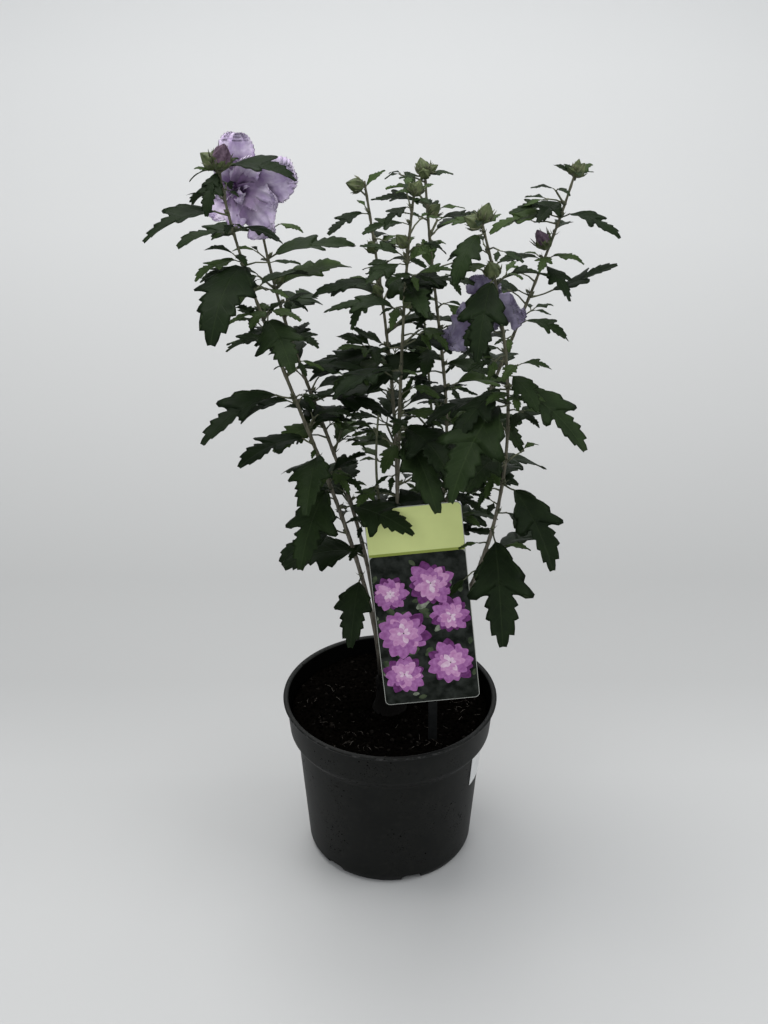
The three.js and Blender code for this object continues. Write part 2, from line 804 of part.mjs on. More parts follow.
const pot = place(makePot(), "pot");
const soil = place(makeSoil([stemSlot, ...notchBlocks(GAP)]), "soil");
const trunk = place(makeTrunk(0), "root_crown");
place(label.transform(frame.matrixWorld.elements), "plant_label");

addNode("pot", pot, MATERIALS.pot);
addNode("pot_sticker", place(makeSticker(), "pot_sticker"), MATERIALS.sticker);
addNode("soil", soil, MATERIALS.soil);
addNode("root_crown", trunk, MATERIALS.bark);
addNode("plant_label", label, MATERIALS.label, frame);
plant.add(frame);

const trunkSpace = makeTrunk(GAP);
const masses = CANES.map((cane) => {
  const curve = caneCurve(cane);
  const node = `${cane.name}_foliage`;
  const bough = place(makeBough(cane, curve, trunkSpace), `${cane.name}_cane`);
  addNode(`${cane.name}_cane`, bough, MATERIALS.bark);
  const start = LEAFING.first + GAP / curve.getLength();
  const stem = place(limb(curve, start, 1, caneRadius(cane), CANE.sides, 12), node);
  const shoots = cane.shoots.map((shoot) => {
    const path = shootCurve(curve, shoot);
    const radius = (share) => lerp(SHOOT.footRadius, SHOOT.tipRadius, share);
    return { path, shoot, twig: place(limb(path, 0, 1, radius, 4, 4), node) };
  });
  return { cane, curve, node, shoots, pieces: [stem, ...shoots.map((s) => s.twig)] };
});

// Blooms and buds first, then the leading leaves, and last what fills in between.
for (const { cane, curve, node, pieces } of masses) {
  cane.blooms.forEach((bloom) => pieces.push(...growBloom(curve, bloom, node)));
  cane.buds.forEach((bud) => pieces.push(...growBud(curve, bud, node)));
}
for (const { cane, curve, node, pieces } of masses) {
  for (const lead of cane.leads) {
    const root = curve.getPointAt(lead.at);
    pieces.push(...growLeaf({ width: LEAFING.leadWidth, ...lead, root }, node));
  }
}
for (const { cane, curve, node, shoots, pieces } of masses) {
  pieces.push(...growFoliage(curve, cane, LEAFING.first + LEAFING.bare, LEAFING.longest, node));
  for (const { path, shoot } of shoots) {
    pieces.push(...growFoliage(path, shoot, SHOOT.first, SHOOT.leafShare * LEAFING.longest, node));
  }
  addNode(node, fuse(pieces), MATERIALS.foliage);
}

export default plant;
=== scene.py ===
"""The looks of a potted rose of sharon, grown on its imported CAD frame.

Lengths are millimetres and angles degrees until a mesh is made; the frame and
Blender use metres. The rule that places the leaves is the one of the CAD source.
"""

import math
import random

import bpy
import numpy as np
from mathutils import Matrix, Vector, kdtree, noise


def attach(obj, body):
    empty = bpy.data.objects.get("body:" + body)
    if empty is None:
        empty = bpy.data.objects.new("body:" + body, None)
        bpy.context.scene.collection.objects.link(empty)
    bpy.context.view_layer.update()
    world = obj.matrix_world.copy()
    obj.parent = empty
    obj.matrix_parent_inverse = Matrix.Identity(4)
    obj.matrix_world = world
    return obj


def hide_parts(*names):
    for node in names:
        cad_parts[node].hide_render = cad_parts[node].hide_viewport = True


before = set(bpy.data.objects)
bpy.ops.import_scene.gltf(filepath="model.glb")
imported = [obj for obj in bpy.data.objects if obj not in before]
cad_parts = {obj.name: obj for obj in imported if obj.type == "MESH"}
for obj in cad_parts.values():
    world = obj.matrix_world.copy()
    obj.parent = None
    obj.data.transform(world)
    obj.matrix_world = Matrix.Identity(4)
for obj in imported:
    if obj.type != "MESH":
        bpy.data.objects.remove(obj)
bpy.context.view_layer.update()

# ---------------------------------------------------------------- dimensions

MM = 0.001
BODY = "root"
TOUCH = 0.35  # how near a CAD corner lies to the tip of a leaf that stands there

PHOTO = {"width": 768, "height": 1024}
CAMERA = {"place": (-4.9, -1351, 1117), "tilt": 30.67, "focal_px": 2033, "sensor": 36}

SOIL_LEVEL = 131
TRUNK = {"height": 29, "flare": 17, "neck": 11.2, "top": 12.2, "lean": 1.5}
CANE = {"foot_radius": 8.6, "foot_height": 158, "tip_radius": 1.1}
LEAFING = {
    "first": 0.22, "bare": 0.02, "last": 0.97, "spacing": 23, "turn": 144,
    "wander": 40, "longest": 62, "youngest": 0.5, "spurs": 0.4, "lead_width": 0.74,
}
SPUR = {"shortest": 10, "longest": 25, "rise": 45, "radius": 0.9, "sunk": 1.5}
SHOOT = {"first": 0.15, "leaf_share": 0.6, "foot_radius": 1.3, "tip_radius": 0.8}
STALK_SHARE = 0.2
SLIM = 0.76  # how much thinner than its solid a cane is

# The finest twigs, on every cane and shoot: where they stand and their small leaves.
SPRAY = {
    "first": 0.3, "last": 0.98, "spacing": 14, "shortest": 4, "longest": 20,
    "leaves": 3, "small": 12, "large": 30, "fan": 55, "width": 0.8, "radius": 0.55, "seed": 100,
}
BLADE = {"fold": 0.25, "curl": 0.9, "nod": 0.22}

# A fading bloom is uneven: how long it is in the five directions of its outer petals.
BLOOM_REACH = {"left_inner": (1.15, 0.92, 0.4, 0.62, 1.0), "right_inner": (0.72, 0.4, 1.0, 0.5, 1.2)}
TUFT = {"left_outer": 5, "back_left": 1, "front_middle": 5, "middle": 3, "right_outer": 4, "right_inner": 4}
SMALLEST_LOBED = 22  # a shorter leaf has the plain young shape

# foot direction, the two points that bend the cane, its tip, foot radius, seed and
# first direction of the rule. leads: share, direction, length, rise, droop, stalk.
# The bends, most leads and the blooms' places were solved by a program from points read
# off the photograph, and seed and start were searched for the best overlap with it.
# buds: share, direction, rise, length, radius. blooms: share, direction, rise,
# stalk, facing, first petal, radius. shoots: share, bend, tip, seed, first direction.
CANES = {
    "left_outer": {
        "foot": 207, "low": (-9, -11, 297), "high": (-108, -20, 488), "tip": (-119, -25, 608),
        "girth": 2.5, "seed": 456, "start": 60,
        "leads": [
            (0.99, -107, 24, 10, 75), (0.99, 170, 21, 20, 80), (0.99, -24, 51, 35, 45),
            (0.985, 255, 36, 20, 88, 4),
            (0.92, 209, 57, 25, 50), (0.83, 215, 31, 20, 40), (0.82, 255, 82, 45, 88, 12),
            (0.7, 214, 33, 30, 40), (0.59, 217, 70, 25, 60, 18), (0.53, 28, 36, 30, 20),
            (0.5, 219, 60, 40, 50), (0.45, 213, 22, 10, 60), (0.43, 32, 31, 45, 20),
            (0.41, 251, 72, 20, 80, 11), (0.23, 262, 58, 10, 75),
        ],
        "buds": [(0.995, 170, 40, 15, 6), (0.995, 300, 65, 22, 7), (0.78, 200, 50, 12, 4)],
        "blooms": [],
        "shoots": [],
    },
    "left_inner": {
        "foot": 150, "low": (-13, 14, 343), "high": (-81, 24, 411), "tip": (-97, 32, 560),
        "girth": 2.3, "seed": 885, "start": 195,
        "leads": [
            (0.93, 201, 57, 35, 45), (0.89, 13, 61, 28, 28, 6), (0.83, 23, 56, 40, 30, 6),
            (0.8, 22, 21, 30, 10), (0.75, 210, 33, 30, 40), (0.62, 27, 34, 30, 20),
            (0.39, -3, 31, 40, 30),
        ],
        "buds": [(0.84, 0, 50, 10, 3.5)],
        "blooms": [(0.995, 195, 45, 18, (-0.15, -0.95, 0.3), 12, 44)],
        "shoots": [],
    },
    "back_left": {
        "foot": 98, "low": (14, 11, 343), "high": (1, 20, 444), "tip": (-19, 25, 577),
        "girth": 2.2, "seed": 139, "start": 290,
        "leads": [
            (0.81, 194, 44, 20, 40), (0.8, 228, 34, 0, 80), (0.69, 165, 26, 30, -10),
            (0.68, 211, 65, 25, 40, 6), (0.6, 183, 58, 30, 40, 6),
        ],
        "buds": [(0.99, 190, 15, 13, 5), (0.87, 240, 50, 14, 4), (0.79, 220, 50, 11, 4)],
        "blooms": [],
        "shoots": [],
    },
    "front_middle": {
        "foot": 265, "low": (8, -5, 294), "high": (3, -22, 470), "tip": (16, -30, 591),
        "girth": 2.2, "seed": 207, "start": 300,
        "leads": [
            (0.97, 225, 26, 30, 70), (0.88, 164, 30, 30, 20), (0.87, 48, 34, 30, 20, 3),
            (0.87, 223, 36, 20, 40), (0.82, -10, 44, 40, 30), (0.6, 51, 19, 40, -60),
            (0.59, 34, 44, 20, 10), (0.58, -18, 33, 30, 40), (0.54, -69, 70, 20, 80),
            (0.52, 250, 31, 25, 60),
        ],
        "buds": [(0.99, 0, 70, 12, 4.5), (0.9, 190, 50, 12, 4.5), (0.79, -20, 50, 12, 4.5)],
        "blooms": [],
        "shoots": [(0.3, (-16, -7, 325), (-9, -20, 411), 5, 90)],
    },
    "middle": {
        "foot": 5, "low": (67, 4, 391), "high": (35, 8, 412), "tip": (24, 10, 591),
        "girth": 2.1, "seed": 622, "start": 255,
        "leads": [
            (0.82, 107, 24, 40, -30), (0.66, 173, 26, 40, 10), (0.65, -37, 44, 30, 30, 4),
            (0.54, 19, 23, 40, 20), (0.51, -87, 58, 30, 80, 9), (0.4, -32, 30, 20, 50),
        ],
        "buds": [(0.99, 120, 60, 12, 5), (0.99, 260, 40, 10, 4), (0.92, -10, 50, 12, 4.5)],
        "blooms": [],
        "shoots": [(0.35, (33, 40, 370), (23, 52, 488), 8, 30)],
    },
    "right_outer": {
        "foot": 50, "low": (22, 25, 287), "high": (106, 44, 461), "tip": (135, 55, 572),
        "girth": 2.3, "seed": 734, "start": 285,
        "leads": [
            (0.93, 199, 36, 30, 30), (0.92, -37, 45, 30, 55), (0.92, 191, 47, 20, 50),
            (0.84, 187, 31, 25, 40), (0.77, -3, 52, 20, -30, 18),
        ],
        "buds": [(0.99, 20, 50, 12, 4.5), (0.86, 200, 60, 18, 6)],
        "blooms": [],
        "shoots": [],
    },
    "right_inner": {
        "foot": 315, "low": (99, -22, 275), "high": (101, -40, 430), "tip": (62, -50, 577),
        "girth": 2.3, "seed": 776, "start": 240,
        "leads": [
            (0.99, 170, 28, 35, 60), (0.98, 238, 42, 10, 85), (0.9, -102, 64, 10, 88, 14),
            (0.92, 212, 27, 20, 30), (0.69, -40, 69, 15, 65, 10), (0.69, 228, 59, 20, 70, 9),
            (0.66, 241, 89, 20, 80), (0.54, 236, 28, 0, 80), (0.5, -64, 72, 10, 75, 18),
            (0.4, -88, 86, 10, 85, 26),
        ],
        "buds": [(0.995, 0, 75, 15, 5), (0.99, 180, 30, 14, 5), (0.9, 240, 60, 15, 5.5)],
        "blooms": [(0.8, 111, 25, 24, (-0.55, -0.8, 0.15), 60, 36)],
        "shoots": [],
    },
}

# Gaps where the photograph shows daylight, read off it: across, down and reach in pixels.
OPENINGS = {
    "beside_left_bloom": (325, 195, 30),
    "between_middle_tips": (385, 195, 15),
    "above_right_buds": (465, 185, 20),
    "below_rod_side_buds": (505, 185, 15),
    "under_far_left_leaves": (210, 255, 12),
    "right_of_far_right_leaf": (600, 255, 15),
    "between_left_and_middle": (330, 315, 18),
    "inside_right_outer_cane": (530, 350, 15),
    "above_left_low_leaf": (215, 375, 25),
    "between_left_leaf_and_cane": (280, 415, 15),
    "under_left_low_leaf": (235, 440, 15),
    "above_low_right_leaf": (530, 460, 15),
    "inside_left_inner_cane": (370, 475, 10),
    "above_lowest_left_leaf": (275, 495, 25),
    "beside_lowest_left_leaf": (340, 550, 12),
    "under_lowest_left_leaf": (315, 590, 25),
}

# The label's header, which the small leaves of the finest twigs keep clear of.
LABEL_HEADER = [(386, 525, 26), (420, 521, 26), (448, 516, 22)]

POT = {
    "height": 143.4, "rim": 87, "lip": 3, "band_top": 84.4, "band_foot": 81.6,
    "band_level": 112, "ledge": 3, "wall_top": 75.8, "wall_foot": 67.2,
    "foot": 64.2, "foot_round": 6, "wall": 1.8, "floor": 2.2, "segments": 192,
}
NOTCH = {"count": 6, "first": -44, "width": 17, "height": 6.5, "depth": 9, "round": 2.5}
LABEL = {
    "width": 75, "height": 169, "thickness": 0.8, "corner": 4, "stem_width": 7,
    "stem_thickness": 2.4, "buried": 22, "foot": (33.9, -45.8), "shown": 35.3,
    "lean_back": 7.5, "lean_left": 6, "header": 40, "line": 2.2, "margin": 0.5,
}

UP = np.array((0.0, 0.0, 1.0))


# ---------------------------------------------------------------- geometry helpers


def heading(turn, rise):
    """A unit vector from a direction round the plant and a rise above the horizon."""
    turn, rise = math.radians(turn), math.radians(rise)
    return np.array((math.cos(rise) * math.cos(turn), math.cos(rise) * math.sin(turn), math.sin(rise)))


def lerp(a, b, share):
    return a + (b - a) * share


def unit(vector):
    return vector / np.linalg.norm(vector)


def mulberry(seed):
    """The seeded numbers from 0 to 1 that place the leaves in the CAD source."""
    mask = 0xFFFFFFFF
    state = seed & mask
    while True:
        state = (state + 0x6D2B79F5) & mask
        t = ((state ^ (state >> 15)) * (state | 1)) & mask
        t ^= (t + (((t ^ (t >> 7)) * (t | 61)) & mask)) & mask
        yield ((t ^ (t >> 14)) & mask) / 4294967296


class Stem:
    """A Bézier curve read by its share of length, in the source's 200 steps."""

    STEPS = 200

    def __init__(self, *points):
        self.controls = [np.array(p, float) for p in points]
        self.steps = np.linspace(0, 1, self.STEPS + 1)
        track = np.array([self.bezier(t) for t in self.steps])
        gone = np.linalg.norm(np.diff(track, axis=0), axis=1)
        self.marks = np.concatenate([[0], np.cumsum(gone)])
        self.length = self.marks[-1]

    def bezier(self, t):
        order = len(self.controls) - 1
        return sum(
            math.comb(order, i) * (1 - t) ** (order - i) * t**i * p
            for i, p in enumerate(self.controls)
        )

    def at(self, share):
        return self.bezier(np.interp(share * self.length, self.marks, self.steps))

    def path(self, first, last, count):
        return np.array([self.at(share) for share in np.linspace(first, last, count)])


class Blade:
    """The frame of a leaf or petal: a stalk, then a rib that bends evenly."""

    def __init__(self, root, turn, length, rise, droop, stalk=None, width=1.0, roll=0.0, nod=None):
        stalk = STALK_SHARE * length if stalk is None else stalk
        self.root, self.length, self.width = root, length, width
        self.roll = math.radians(roll)
        self.ahead = heading(turn, 0)
        self.left = np.cross(UP, self.ahead)
        self.base = root + stalk * heading(turn, rise)
        nod = BLADE["nod"] if nod is None else nod
        self.start = math.radians(lerp(rise, -droop, nod))
        self.bend = math.radians(-droop - rise) * (1 - 2 * nod)

    def points(self, along, out, over):
        """Arrays of shares along the rib, out from it and above it, as points."""
        along, out, over = np.broadcast_arrays(*map(np.asarray, (along, out, over)))
        slant = self.start + self.bend * along
        level = (np.sin(slant) - math.sin(self.start)) / self.bend
        climb = (math.cos(self.start) - np.cos(slant)) / self.bend
        normal = np.outer(-np.sin(slant), self.ahead) + np.outer(np.cos(slant), UP)
        cos, sin = math.cos(self.roll), math.sin(self.roll)
        side = cos * self.left + sin * normal
        face = cos * normal - sin * self.left
        wide = out * self.width
        lift = BLADE["fold"] * np.abs(wide) - BLADE["curl"] * wide**2 + over
        rib = np.outer(level, self.ahead) + np.outer(climb, UP)
        return self.base + self.length * (rib + side * wide[:, None] + face * lift[:, None])

    def tip(self):
        return self.points([1.0], [0.0], [0.0])[0]


class Pile:
    """The corners and faces of many small parts that become one piece."""

    def __init__(self):
        self.points, self.faces, self.paints, self.maps = [], [], [], []
        self.count = 0

    def add(self, points, faces, paint=0, maps=None):
        points = np.asarray(points, float)
        self.points.append(points)
        self.maps.append(np.zeros((len(points), 2)) if maps is None else maps)
        self.faces += [[corner + self.count for corner in face] for face in faces]
        self.paints += paint if isinstance(paint, list) else [paint] * len(faces)
        self.count += len(points)

    def piece(self, name, slot, materials, replaced=(), smooth=True):
        mesh = bpy.data.meshes.new(name)
        mesh.from_pydata((np.concatenate(self.points) * MM).tolist(), [], self.faces)
        mesh.polygons.foreach_set("material_index", self.paints)
        mesh.polygons.foreach_set("use_smooth", [smooth] * len(self.faces))
        corner_of = np.empty(len(mesh.loops), np.int32)
        mesh.loops.foreach_get("vertex_index", corner_of)
        maps = np.concatenate(self.maps)[corner_of]
        mesh.uv_layers.new(name="blade").data.foreach_set("uv", maps.ravel())
        for material in materials:
            mesh.materials.append(material)
        mesh.validate()
        piece = bpy.data.objects.new(name, mesh)
        bpy.context.scene.collection.objects.link(piece)
        return belong(piece, replaced)


def belong(piece, replaced=()):
    if replaced:
        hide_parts(*replaced)
    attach(piece, BODY)
    return piece


def tube(path, radii, sides):
    """A closed tube along a path; radii has one number, or one a side, for each point."""
    path = np.asarray(path, float)
    radii = np.broadcast_to(np.asarray(radii, float).reshape(len(path), -1), (len(path), sides))
    ways = np.gradient(path, axis=0)
    side = unit(np.cross(ways[0], (0.31, 0.94, 0.12)))
    rings = []
    for point, way, radius in zip(path, ways, radii):
        side = unit(side - way * side.dot(way) / way.dot(way))
        front = unit(np.cross(way, side))
        angle = np.arange(sides) * 2 * math.pi / sides
        spread = np.outer(np.cos(angle), side) + np.outer(np.sin(angle), front)
        rings.append(point + spread * radius[:, None])
    points = np.concatenate([np.concatenate(rings), path[:1], path[-1:]])
    last = (len(path) - 1) * sides
    faces = []
    for j in range(sides):
        k = (j + 1) % sides
        faces += [[i + j, i + k, i + k + sides, i + j + sides] for i in range(0, last, sides)]
        faces.append([len(points) - 2, k, j])
        faces.append([len(points) - 1, last + j, last + k])
    return points, faces


def ring_faces(rows, sides):
    """The faces between rings of corners that are stacked one on the other."""
    faces = []
    for i in range(rows):
        for j in range(sides):
            k = (j + 1) % sides
            faces.append([i * sides + j, i * sides + k, (i + 1) * sides + k, (i + 1) * sides + j])
    return faces


def prism_faces(count):
    """The faces of a plate: a front ring of corners, a back ring, and the sides between."""
    faces = [list(range(count)), list(range(2 * count - 1, count - 1, -1))]
    for j in range(count):
        k = (j + 1) % count
        faces.append([j, j + count, k + count, k])
    return faces


# ---------------------------------------------------------------- leaf and petal patterns


def outline(segments, tooth):
    """Half an edge from base to tip: each segment has its end, bulge, teeth and steps."""
    points, veins = [(0.0, 0.0)], [0.0]
    start = np.zeros(2)
    for end, bulge, teeth, steps in segments:
        end = np.array(end, float)
        outward = np.array((-(end - start)[1], (end - start)[0]))
        reach = np.linalg.norm(outward)
        marks = [(k / steps, 0.0, 0.0) for k in range(1, steps)]
        if teeth:
            profile = ((0.06, -0.4, 0.0), (0.45, 0.4, 0.0), (0.86, 1.0, 1.0))
            marks = [((k + s) / teeth, h, v) for k in range(teeth) for s, h, v in profile]
        for share, height, vein in marks:
            swell = bulge * 4 * share * (1 - share)
            points.append(tuple(lerp(start, end, share) + outward / reach * (swell + tooth * height)))
            veins.append(vein)
        points.append(tuple(end))
        veins.append(0.0)
        start = end
    return np.array(points), np.array(veins)


class Pattern:
    """A blade's grid: rows slant from the rib to the edge, on an upper and a lower side."""

    def __init__(self, segments, tooth, columns, slant, relief, thickness, ridge, plain=True):
        edge, veins = outline(segments, tooth)
        rows = len(edge)
        rib = np.clip(edge[:, 0] - slant * np.abs(edge[:, 1]), 0, 1)
        rib = np.maximum.accumulate(rib + np.linspace(0, 1e-3, rows))
        rib[0], rib[-1] = 0, 1
        across = np.arange(-columns, columns + 1) / columns
        share = np.abs(across)[None, :]
        self.along = rib[:, None] + (edge[:, 0] - rib)[:, None] * share
        self.out = edge[:, 1][:, None] * across[None, :]
        self.row = np.repeat(np.arange(rows)[:, None] / (rows - 1), len(across), 1)
        self.across = np.repeat(across[None, :], rows, 0)
        quilt = relief * (0.5 - veins)[:, None] * np.sin(math.pi * share)
        self.plain = plain
        self.upper = quilt
        thick = thickness + ridge * np.exp(-((share / 0.12) ** 2))
        self.lower = quilt - thick * (1 - share**4) * np.ones((rows, 1))
        self.faces(rows, len(across))

    def faces(self, rows, wide):
        """Numbers the corners; the two sides share the edge, the base and the tip."""
        number, order = {}, []

        def corner(side, i, j):
            if i in (0, rows - 1):
                key = (0, i, wide // 2)
            elif j in (0, wide - 1):
                key = (0, i, j)
            else:
                key = (side, i, j)
            if key not in number:
                number[key] = len(order)
                order.append(key)
            return number[key]

        self.quads, self.side_of = [], []
        for side in (0, 1):
            for i in range(rows - 1):
                for j in range(wide - 1):
                    ring = [corner(side, *c) for c in ((i, j), (i, j + 1), (i + 1, j + 1), (i + 1, j))]
                    ring = list(dict.fromkeys(ring))
                    if len(ring) > 2:
                        self.quads.append(ring[::-1] if side == 0 else ring)
                        self.side_of.append(side)
        side, i, j = np.array(order).T
        self.along, self.out = self.along[i, j], self.out[i, j]
        self.over = np.where(side == 0, self.upper[i, j], self.lower[i, j])
        self.across, self.row = self.across[i, j], self.row[i, j]
        if self.plain:
            self.maps = np.stack([self.out + 0.5, self.along], 1)
        else:
            self.maps = np.stack([self.across * 0.5 + 0.5, self.row], 1)


LEAF = Pattern(
    [
        ((0.22, 0.17), 0.014, 0, 4),
        ((0.41, 0.28), 0.008, 1, 1),
        ((0.58, 0.36), 0.004, 1, 1),
        ((0.59, 0.27), 0.0, 0, 1),
        ((0.555, 0.145), -0.012, 0, 3),
        ((0.78, 0.15), 0.01, 2, 1),
        ((1.0, 0.0), 0.02, 2, 1),
    ],
    tooth=0.034, columns=4, slant=0.5, relief=0.0025, thickness=0.006, ridge=0.01,
)
BROAD_LEAF = Pattern(
    [
        ((0.22, 0.2), 0.014, 0, 4),
        ((0.38, 0.29), 0.006, 1, 1),
        ((0.53, 0.34), 0.0, 1, 1),
        ((0.54, 0.2), -0.005, 0, 3),
        ((0.75, 0.19), 0.012, 2, 1),
        ((1.0, 0.0), 0.025, 2, 1),
    ],
    tooth=0.036, columns=4, slant=0.5, relief=0.0025, thickness=0.006, ridge=0.01,
)
SMALL_LEAF = Pattern(
    [
        ((0.3, 0.19), 0.012, 0, 3),
        ((0.46, 0.25), 0.006, 1, 1),
        ((0.56, 0.17), 0.0, 0, 1),
        ((0.8, 0.13), 0.01, 2, 1),
        ((1.0, 0.0), 0.015, 1, 1),
    ],
    tooth=0.04, columns=3, slant=0.45, relief=0.002, thickness=0.008, ridge=0.01,
)
PETAL = Pattern(
    [
        ((0.25, 0.13), -0.02, 0, 4),
        ((0.6, 0.35), 0.02, 0, 5),
        ((0.9, 0.31), 0.05, 4, 4),
        ((1.0, 0.0), 0.05, 5, 4),
    ],
    tooth=0.016, columns=8, slant=0.05, relief=0.0, thickness=0.008, ridge=0.01, plain=False,
)


def wave(pattern, dice, depth, waves):
    """How far a blade's sides rise and fall, more towards the edge."""
    phase, other = dice.uniform(0, 6.3), dice.uniform(0, 6.3)
    left = np.sin(waves * pattern.along * 2 * math.pi + phase)
    right = np.sin(waves * pattern.along * 2 * math.pi + other)
    return depth * pattern.across**2 * np.where(pattern.across > 0, left, right)


# ---------------------------------------------------------------- the growing rule


class Solid:
    """A CAD node's corners, to ask whether a leaf of the rule stands there."""

    def __init__(self, node):
        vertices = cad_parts[node].data.vertices
        self.tree = kdtree.KDTree(len(vertices))
        for vertex in vertices:
            self.tree.insert(vertex.co, vertex.index)
        self.tree.balance()

    def holds(self, blade):
        return self.tree.find(Vector(blade.tip() * MM))[2] < TOUCH * MM


def lead_blades(cane, stem):
    for at, turn, length, rise, droop, *stalk in cane["leads"]:
        own = {"stalk": stalk[0]} if stalk else {}
        yield Blade(stem.at(at), turn, length, rise, droop, width=LEAFING["lead_width"], **own)


def rule_blades(stem, seed, start, first, longest):
    """The leaves and the spurs, each (root, tip, leaves), that the rule gives a stem."""
    numbers = mulberry(seed)
    span = LEAFING["last"] - first
    count = int(span * stem.length // LEAFING["spacing"])
    leaves, spurs = [], []
    for i in range(count):
        chance = [next(numbers) for _ in range(12)]
        at = first + (i + 0.5) / count * span
        root = stem.at(at)
        turn = start + i * LEAFING["turn"] + LEAFING["wander"] * (chance[0] - 0.5)
        length = longest * (1 - LEAFING["youngest"] * at * at) * lerp(0.75, 1.25, chance[1])
        rise, droop = lerp(15, 40, chance[2]), lerp(30, 75, chance[3])
        width, roll = lerp(0.6, 1, chance[4]), lerp(-15, 15, chance[5])
        leaves.append(Blade(root, turn, length, rise, droop, width=width, roll=roll))
        if chance[6] < LEAFING["spurs"]:
            way = heading(turn + lerp(-15, 15, chance[7]), SPUR["rise"])
            tip = root + way * lerp(SPUR["shortest"], SPUR["longest"], chance[8])
            spread, size = lerp(40, 70, chance[9]), length * lerp(0.45, 0.65, chance[10])
            aim = turn + lerp(-15, 15, chance[7])
            pair = [
                Blade(tip - SPUR["sunk"] * way, aim + side * spread, size, rise + 15, droop - 10,
                      stalk=0.15 * size, width=0.7)
                for side in (-1, 1)
            ]
            spurs.append((root, tip, pair))
    return leaves, spurs


def in_picture(point):
    """Where a point falls in the photograph, in pixels."""
    x, y, z = np.asarray(point) - CAMERA["place"]
    cos, sin = math.cos(math.radians(CAMERA["tilt"])), math.sin(math.radians(CAMERA["tilt"]))
    scale = CAMERA["focal_px"] / (y * cos - z * sin)
    down = -z * cos - y * sin
    return PHOTO["width"] / 2 + scale * x, PHOTO["height"] / 2 + scale * down


def hides_sky(blade):
    """Whether a leaf would stand before one of the crown's openings."""
    for spot in blade.points([0.5, 1.0], [0.0, 0.0], [0.0, 0.0]):
        across, down = in_picture(spot)
        for x, y, reach in [*OPENINGS.values(), *LABEL_HEADER]:
            if math.hypot(across - x, down - y) < reach:
                return True
    return False


def sprays(stem, seed):
    """The finest twigs of a stem by seeded lot: each (share, root, tip, leaves)."""
    numbers = mulberry(seed)
    span = SPRAY["last"] - SPRAY["first"]
    count = int(span * stem.length // SPRAY["spacing"])
    for i in range(count):
        chance = [next(numbers) for _ in range(10)]
        at = SPRAY["first"] + (i + chance[0]) / count * span
        root, turn = stem.at(at), 360 * chance[1]
        reach = lerp(SPRAY["shortest"], SPRAY["longest"], chance[3])
        tip = root + heading(turn, 50 * chance[2]) * reach
        number = 1 + int(chance[4] * SPRAY["leaves"])
        leaves = []
        for k in range(number):
            aim = turn + SPRAY["fan"] * (k - (number - 1) / 2)
            size = lerp(SPRAY["small"], SPRAY["large"], chance[5 + k]) * (1 - 0.3 * at)
            blade = Blade(tip, aim, size, 40 * chance[8], lerp(20, 80, chance[9]), width=SPRAY["width"])
            if not hides_sky(blade):
                leaves.append(blade)
        yield at, root, tip, leaves


# ---------------------------------------------------------------- small parts of the plant


def add_leaf(leaves, blade, dice, pattern=None):
    """A toothed, lobed blade with its own waves and fold; the paint is dealt by lot."""
    if pattern is None:
        pattern = SMALL_LEAF if blade.length < SMALLEST_LOBED else dice.choice((LEAF, LEAF, BROAD_LEAF))
    over = pattern.over + wave(pattern, dice, 0.025, dice.uniform(0.8, 1.8))
    over = over + dice.uniform(-0.12, 0.2) * np.abs(pattern.out)
    lobe = 1 + 0.14 * dice.uniform(-1, 1) * (pattern.across > 0)
    sway = dice.uniform(-0.05, 0.05) * pattern.along**2
    points = blade.points(pattern.along, pattern.out * lobe + sway, over)
    # The palest paint, 2, is partly painted light: leaves lit through from behind.
    lot = dice.random() + 0.25 * (blade.length < 30)
    paint = 0 if lot < 0.5 else 1 if lot < 0.86 else 2
    leaves.add(points, pattern.quads, [paint if s == 0 else 3 for s in pattern.side_of], pattern.maps)


def add_stalk(twigs, blade, start_radius):
    """The leaf's stalk: thicker at its two ends, a little bowed."""
    to = blade.points([0.0, 0.05], [0.0, 0.0], [-0.004, -0.008])
    reach = np.linalg.norm(to[0] - blade.root)
    sag = np.array((0, 0, -0.06 * reach))
    path = [lerp(blade.root, to[0], s) + sag * 4 * s * (1 - s) for s in (0, 0.12, 0.35, 0.65, 0.9)]
    path += [to[0], to[1]]
    slim = max(0.45, min(0.75, blade.length / 75))
    radii = np.array([start_radius * 1.3, start_radius * 1.15, 1, 0.92, 1, 1.05, 0.45])
    radii[2:] *= slim
    twigs.add(*tube(path, radii, 6))
    return path


def add_axil(twigs, root, turn, cane_radius, dice):
    """What sits above a leaf's stalk: a small bud and two awl-shaped stipules."""
    out = heading(turn, 50)
    seat = root + heading(turn, 0) * cane_radius * 0.8 + UP * 1.6
    path = [seat, seat + out * 1.3, seat + out * 2.6, seat + out * dice.uniform(3.4, 4.6)]
    twigs.add(*tube(path, [0.9, 1.35, 1.0, 0.15], 6))
    for side in (-1, 1):
        way = heading(turn + side * 55, dice.uniform(20, 55))
        foot = root + way * cane_radius * 0.8
        path = [foot, foot + way * 2.2, foot + way * 4.2 + UP * 0.8]
        twigs.add(*tube(path, [0.5, 0.3, 0.08], 4))


def add_bracts(twigs, base, out, count, length, girth, dice):
    """The narrow bracts under a bud or bloom, which stand round it like a spiky crown."""
    side = unit(np.cross(out, (0.2, 0.3, 0.9)))
    other = np.cross(out, side)
    for k in range(count):
        angle = 2 * math.pi * (k + dice.uniform(-0.2, 0.2)) / count
        away = math.cos(angle) * side + math.sin(angle) * other
        reach = length * dice.uniform(0.8, 1.1)
        flare = dice.uniform(0.02, 0.2) * length
        path = []
        for s in (0, 0.25, 0.6, 1.0):
            path.append(base + reach * s * out + (girth * (1 - (1 - s) ** 3) + flare * s * s) * away)
        twigs.add(*tube(path, [0.6, 0.8, 0.65, 0.12], 4))


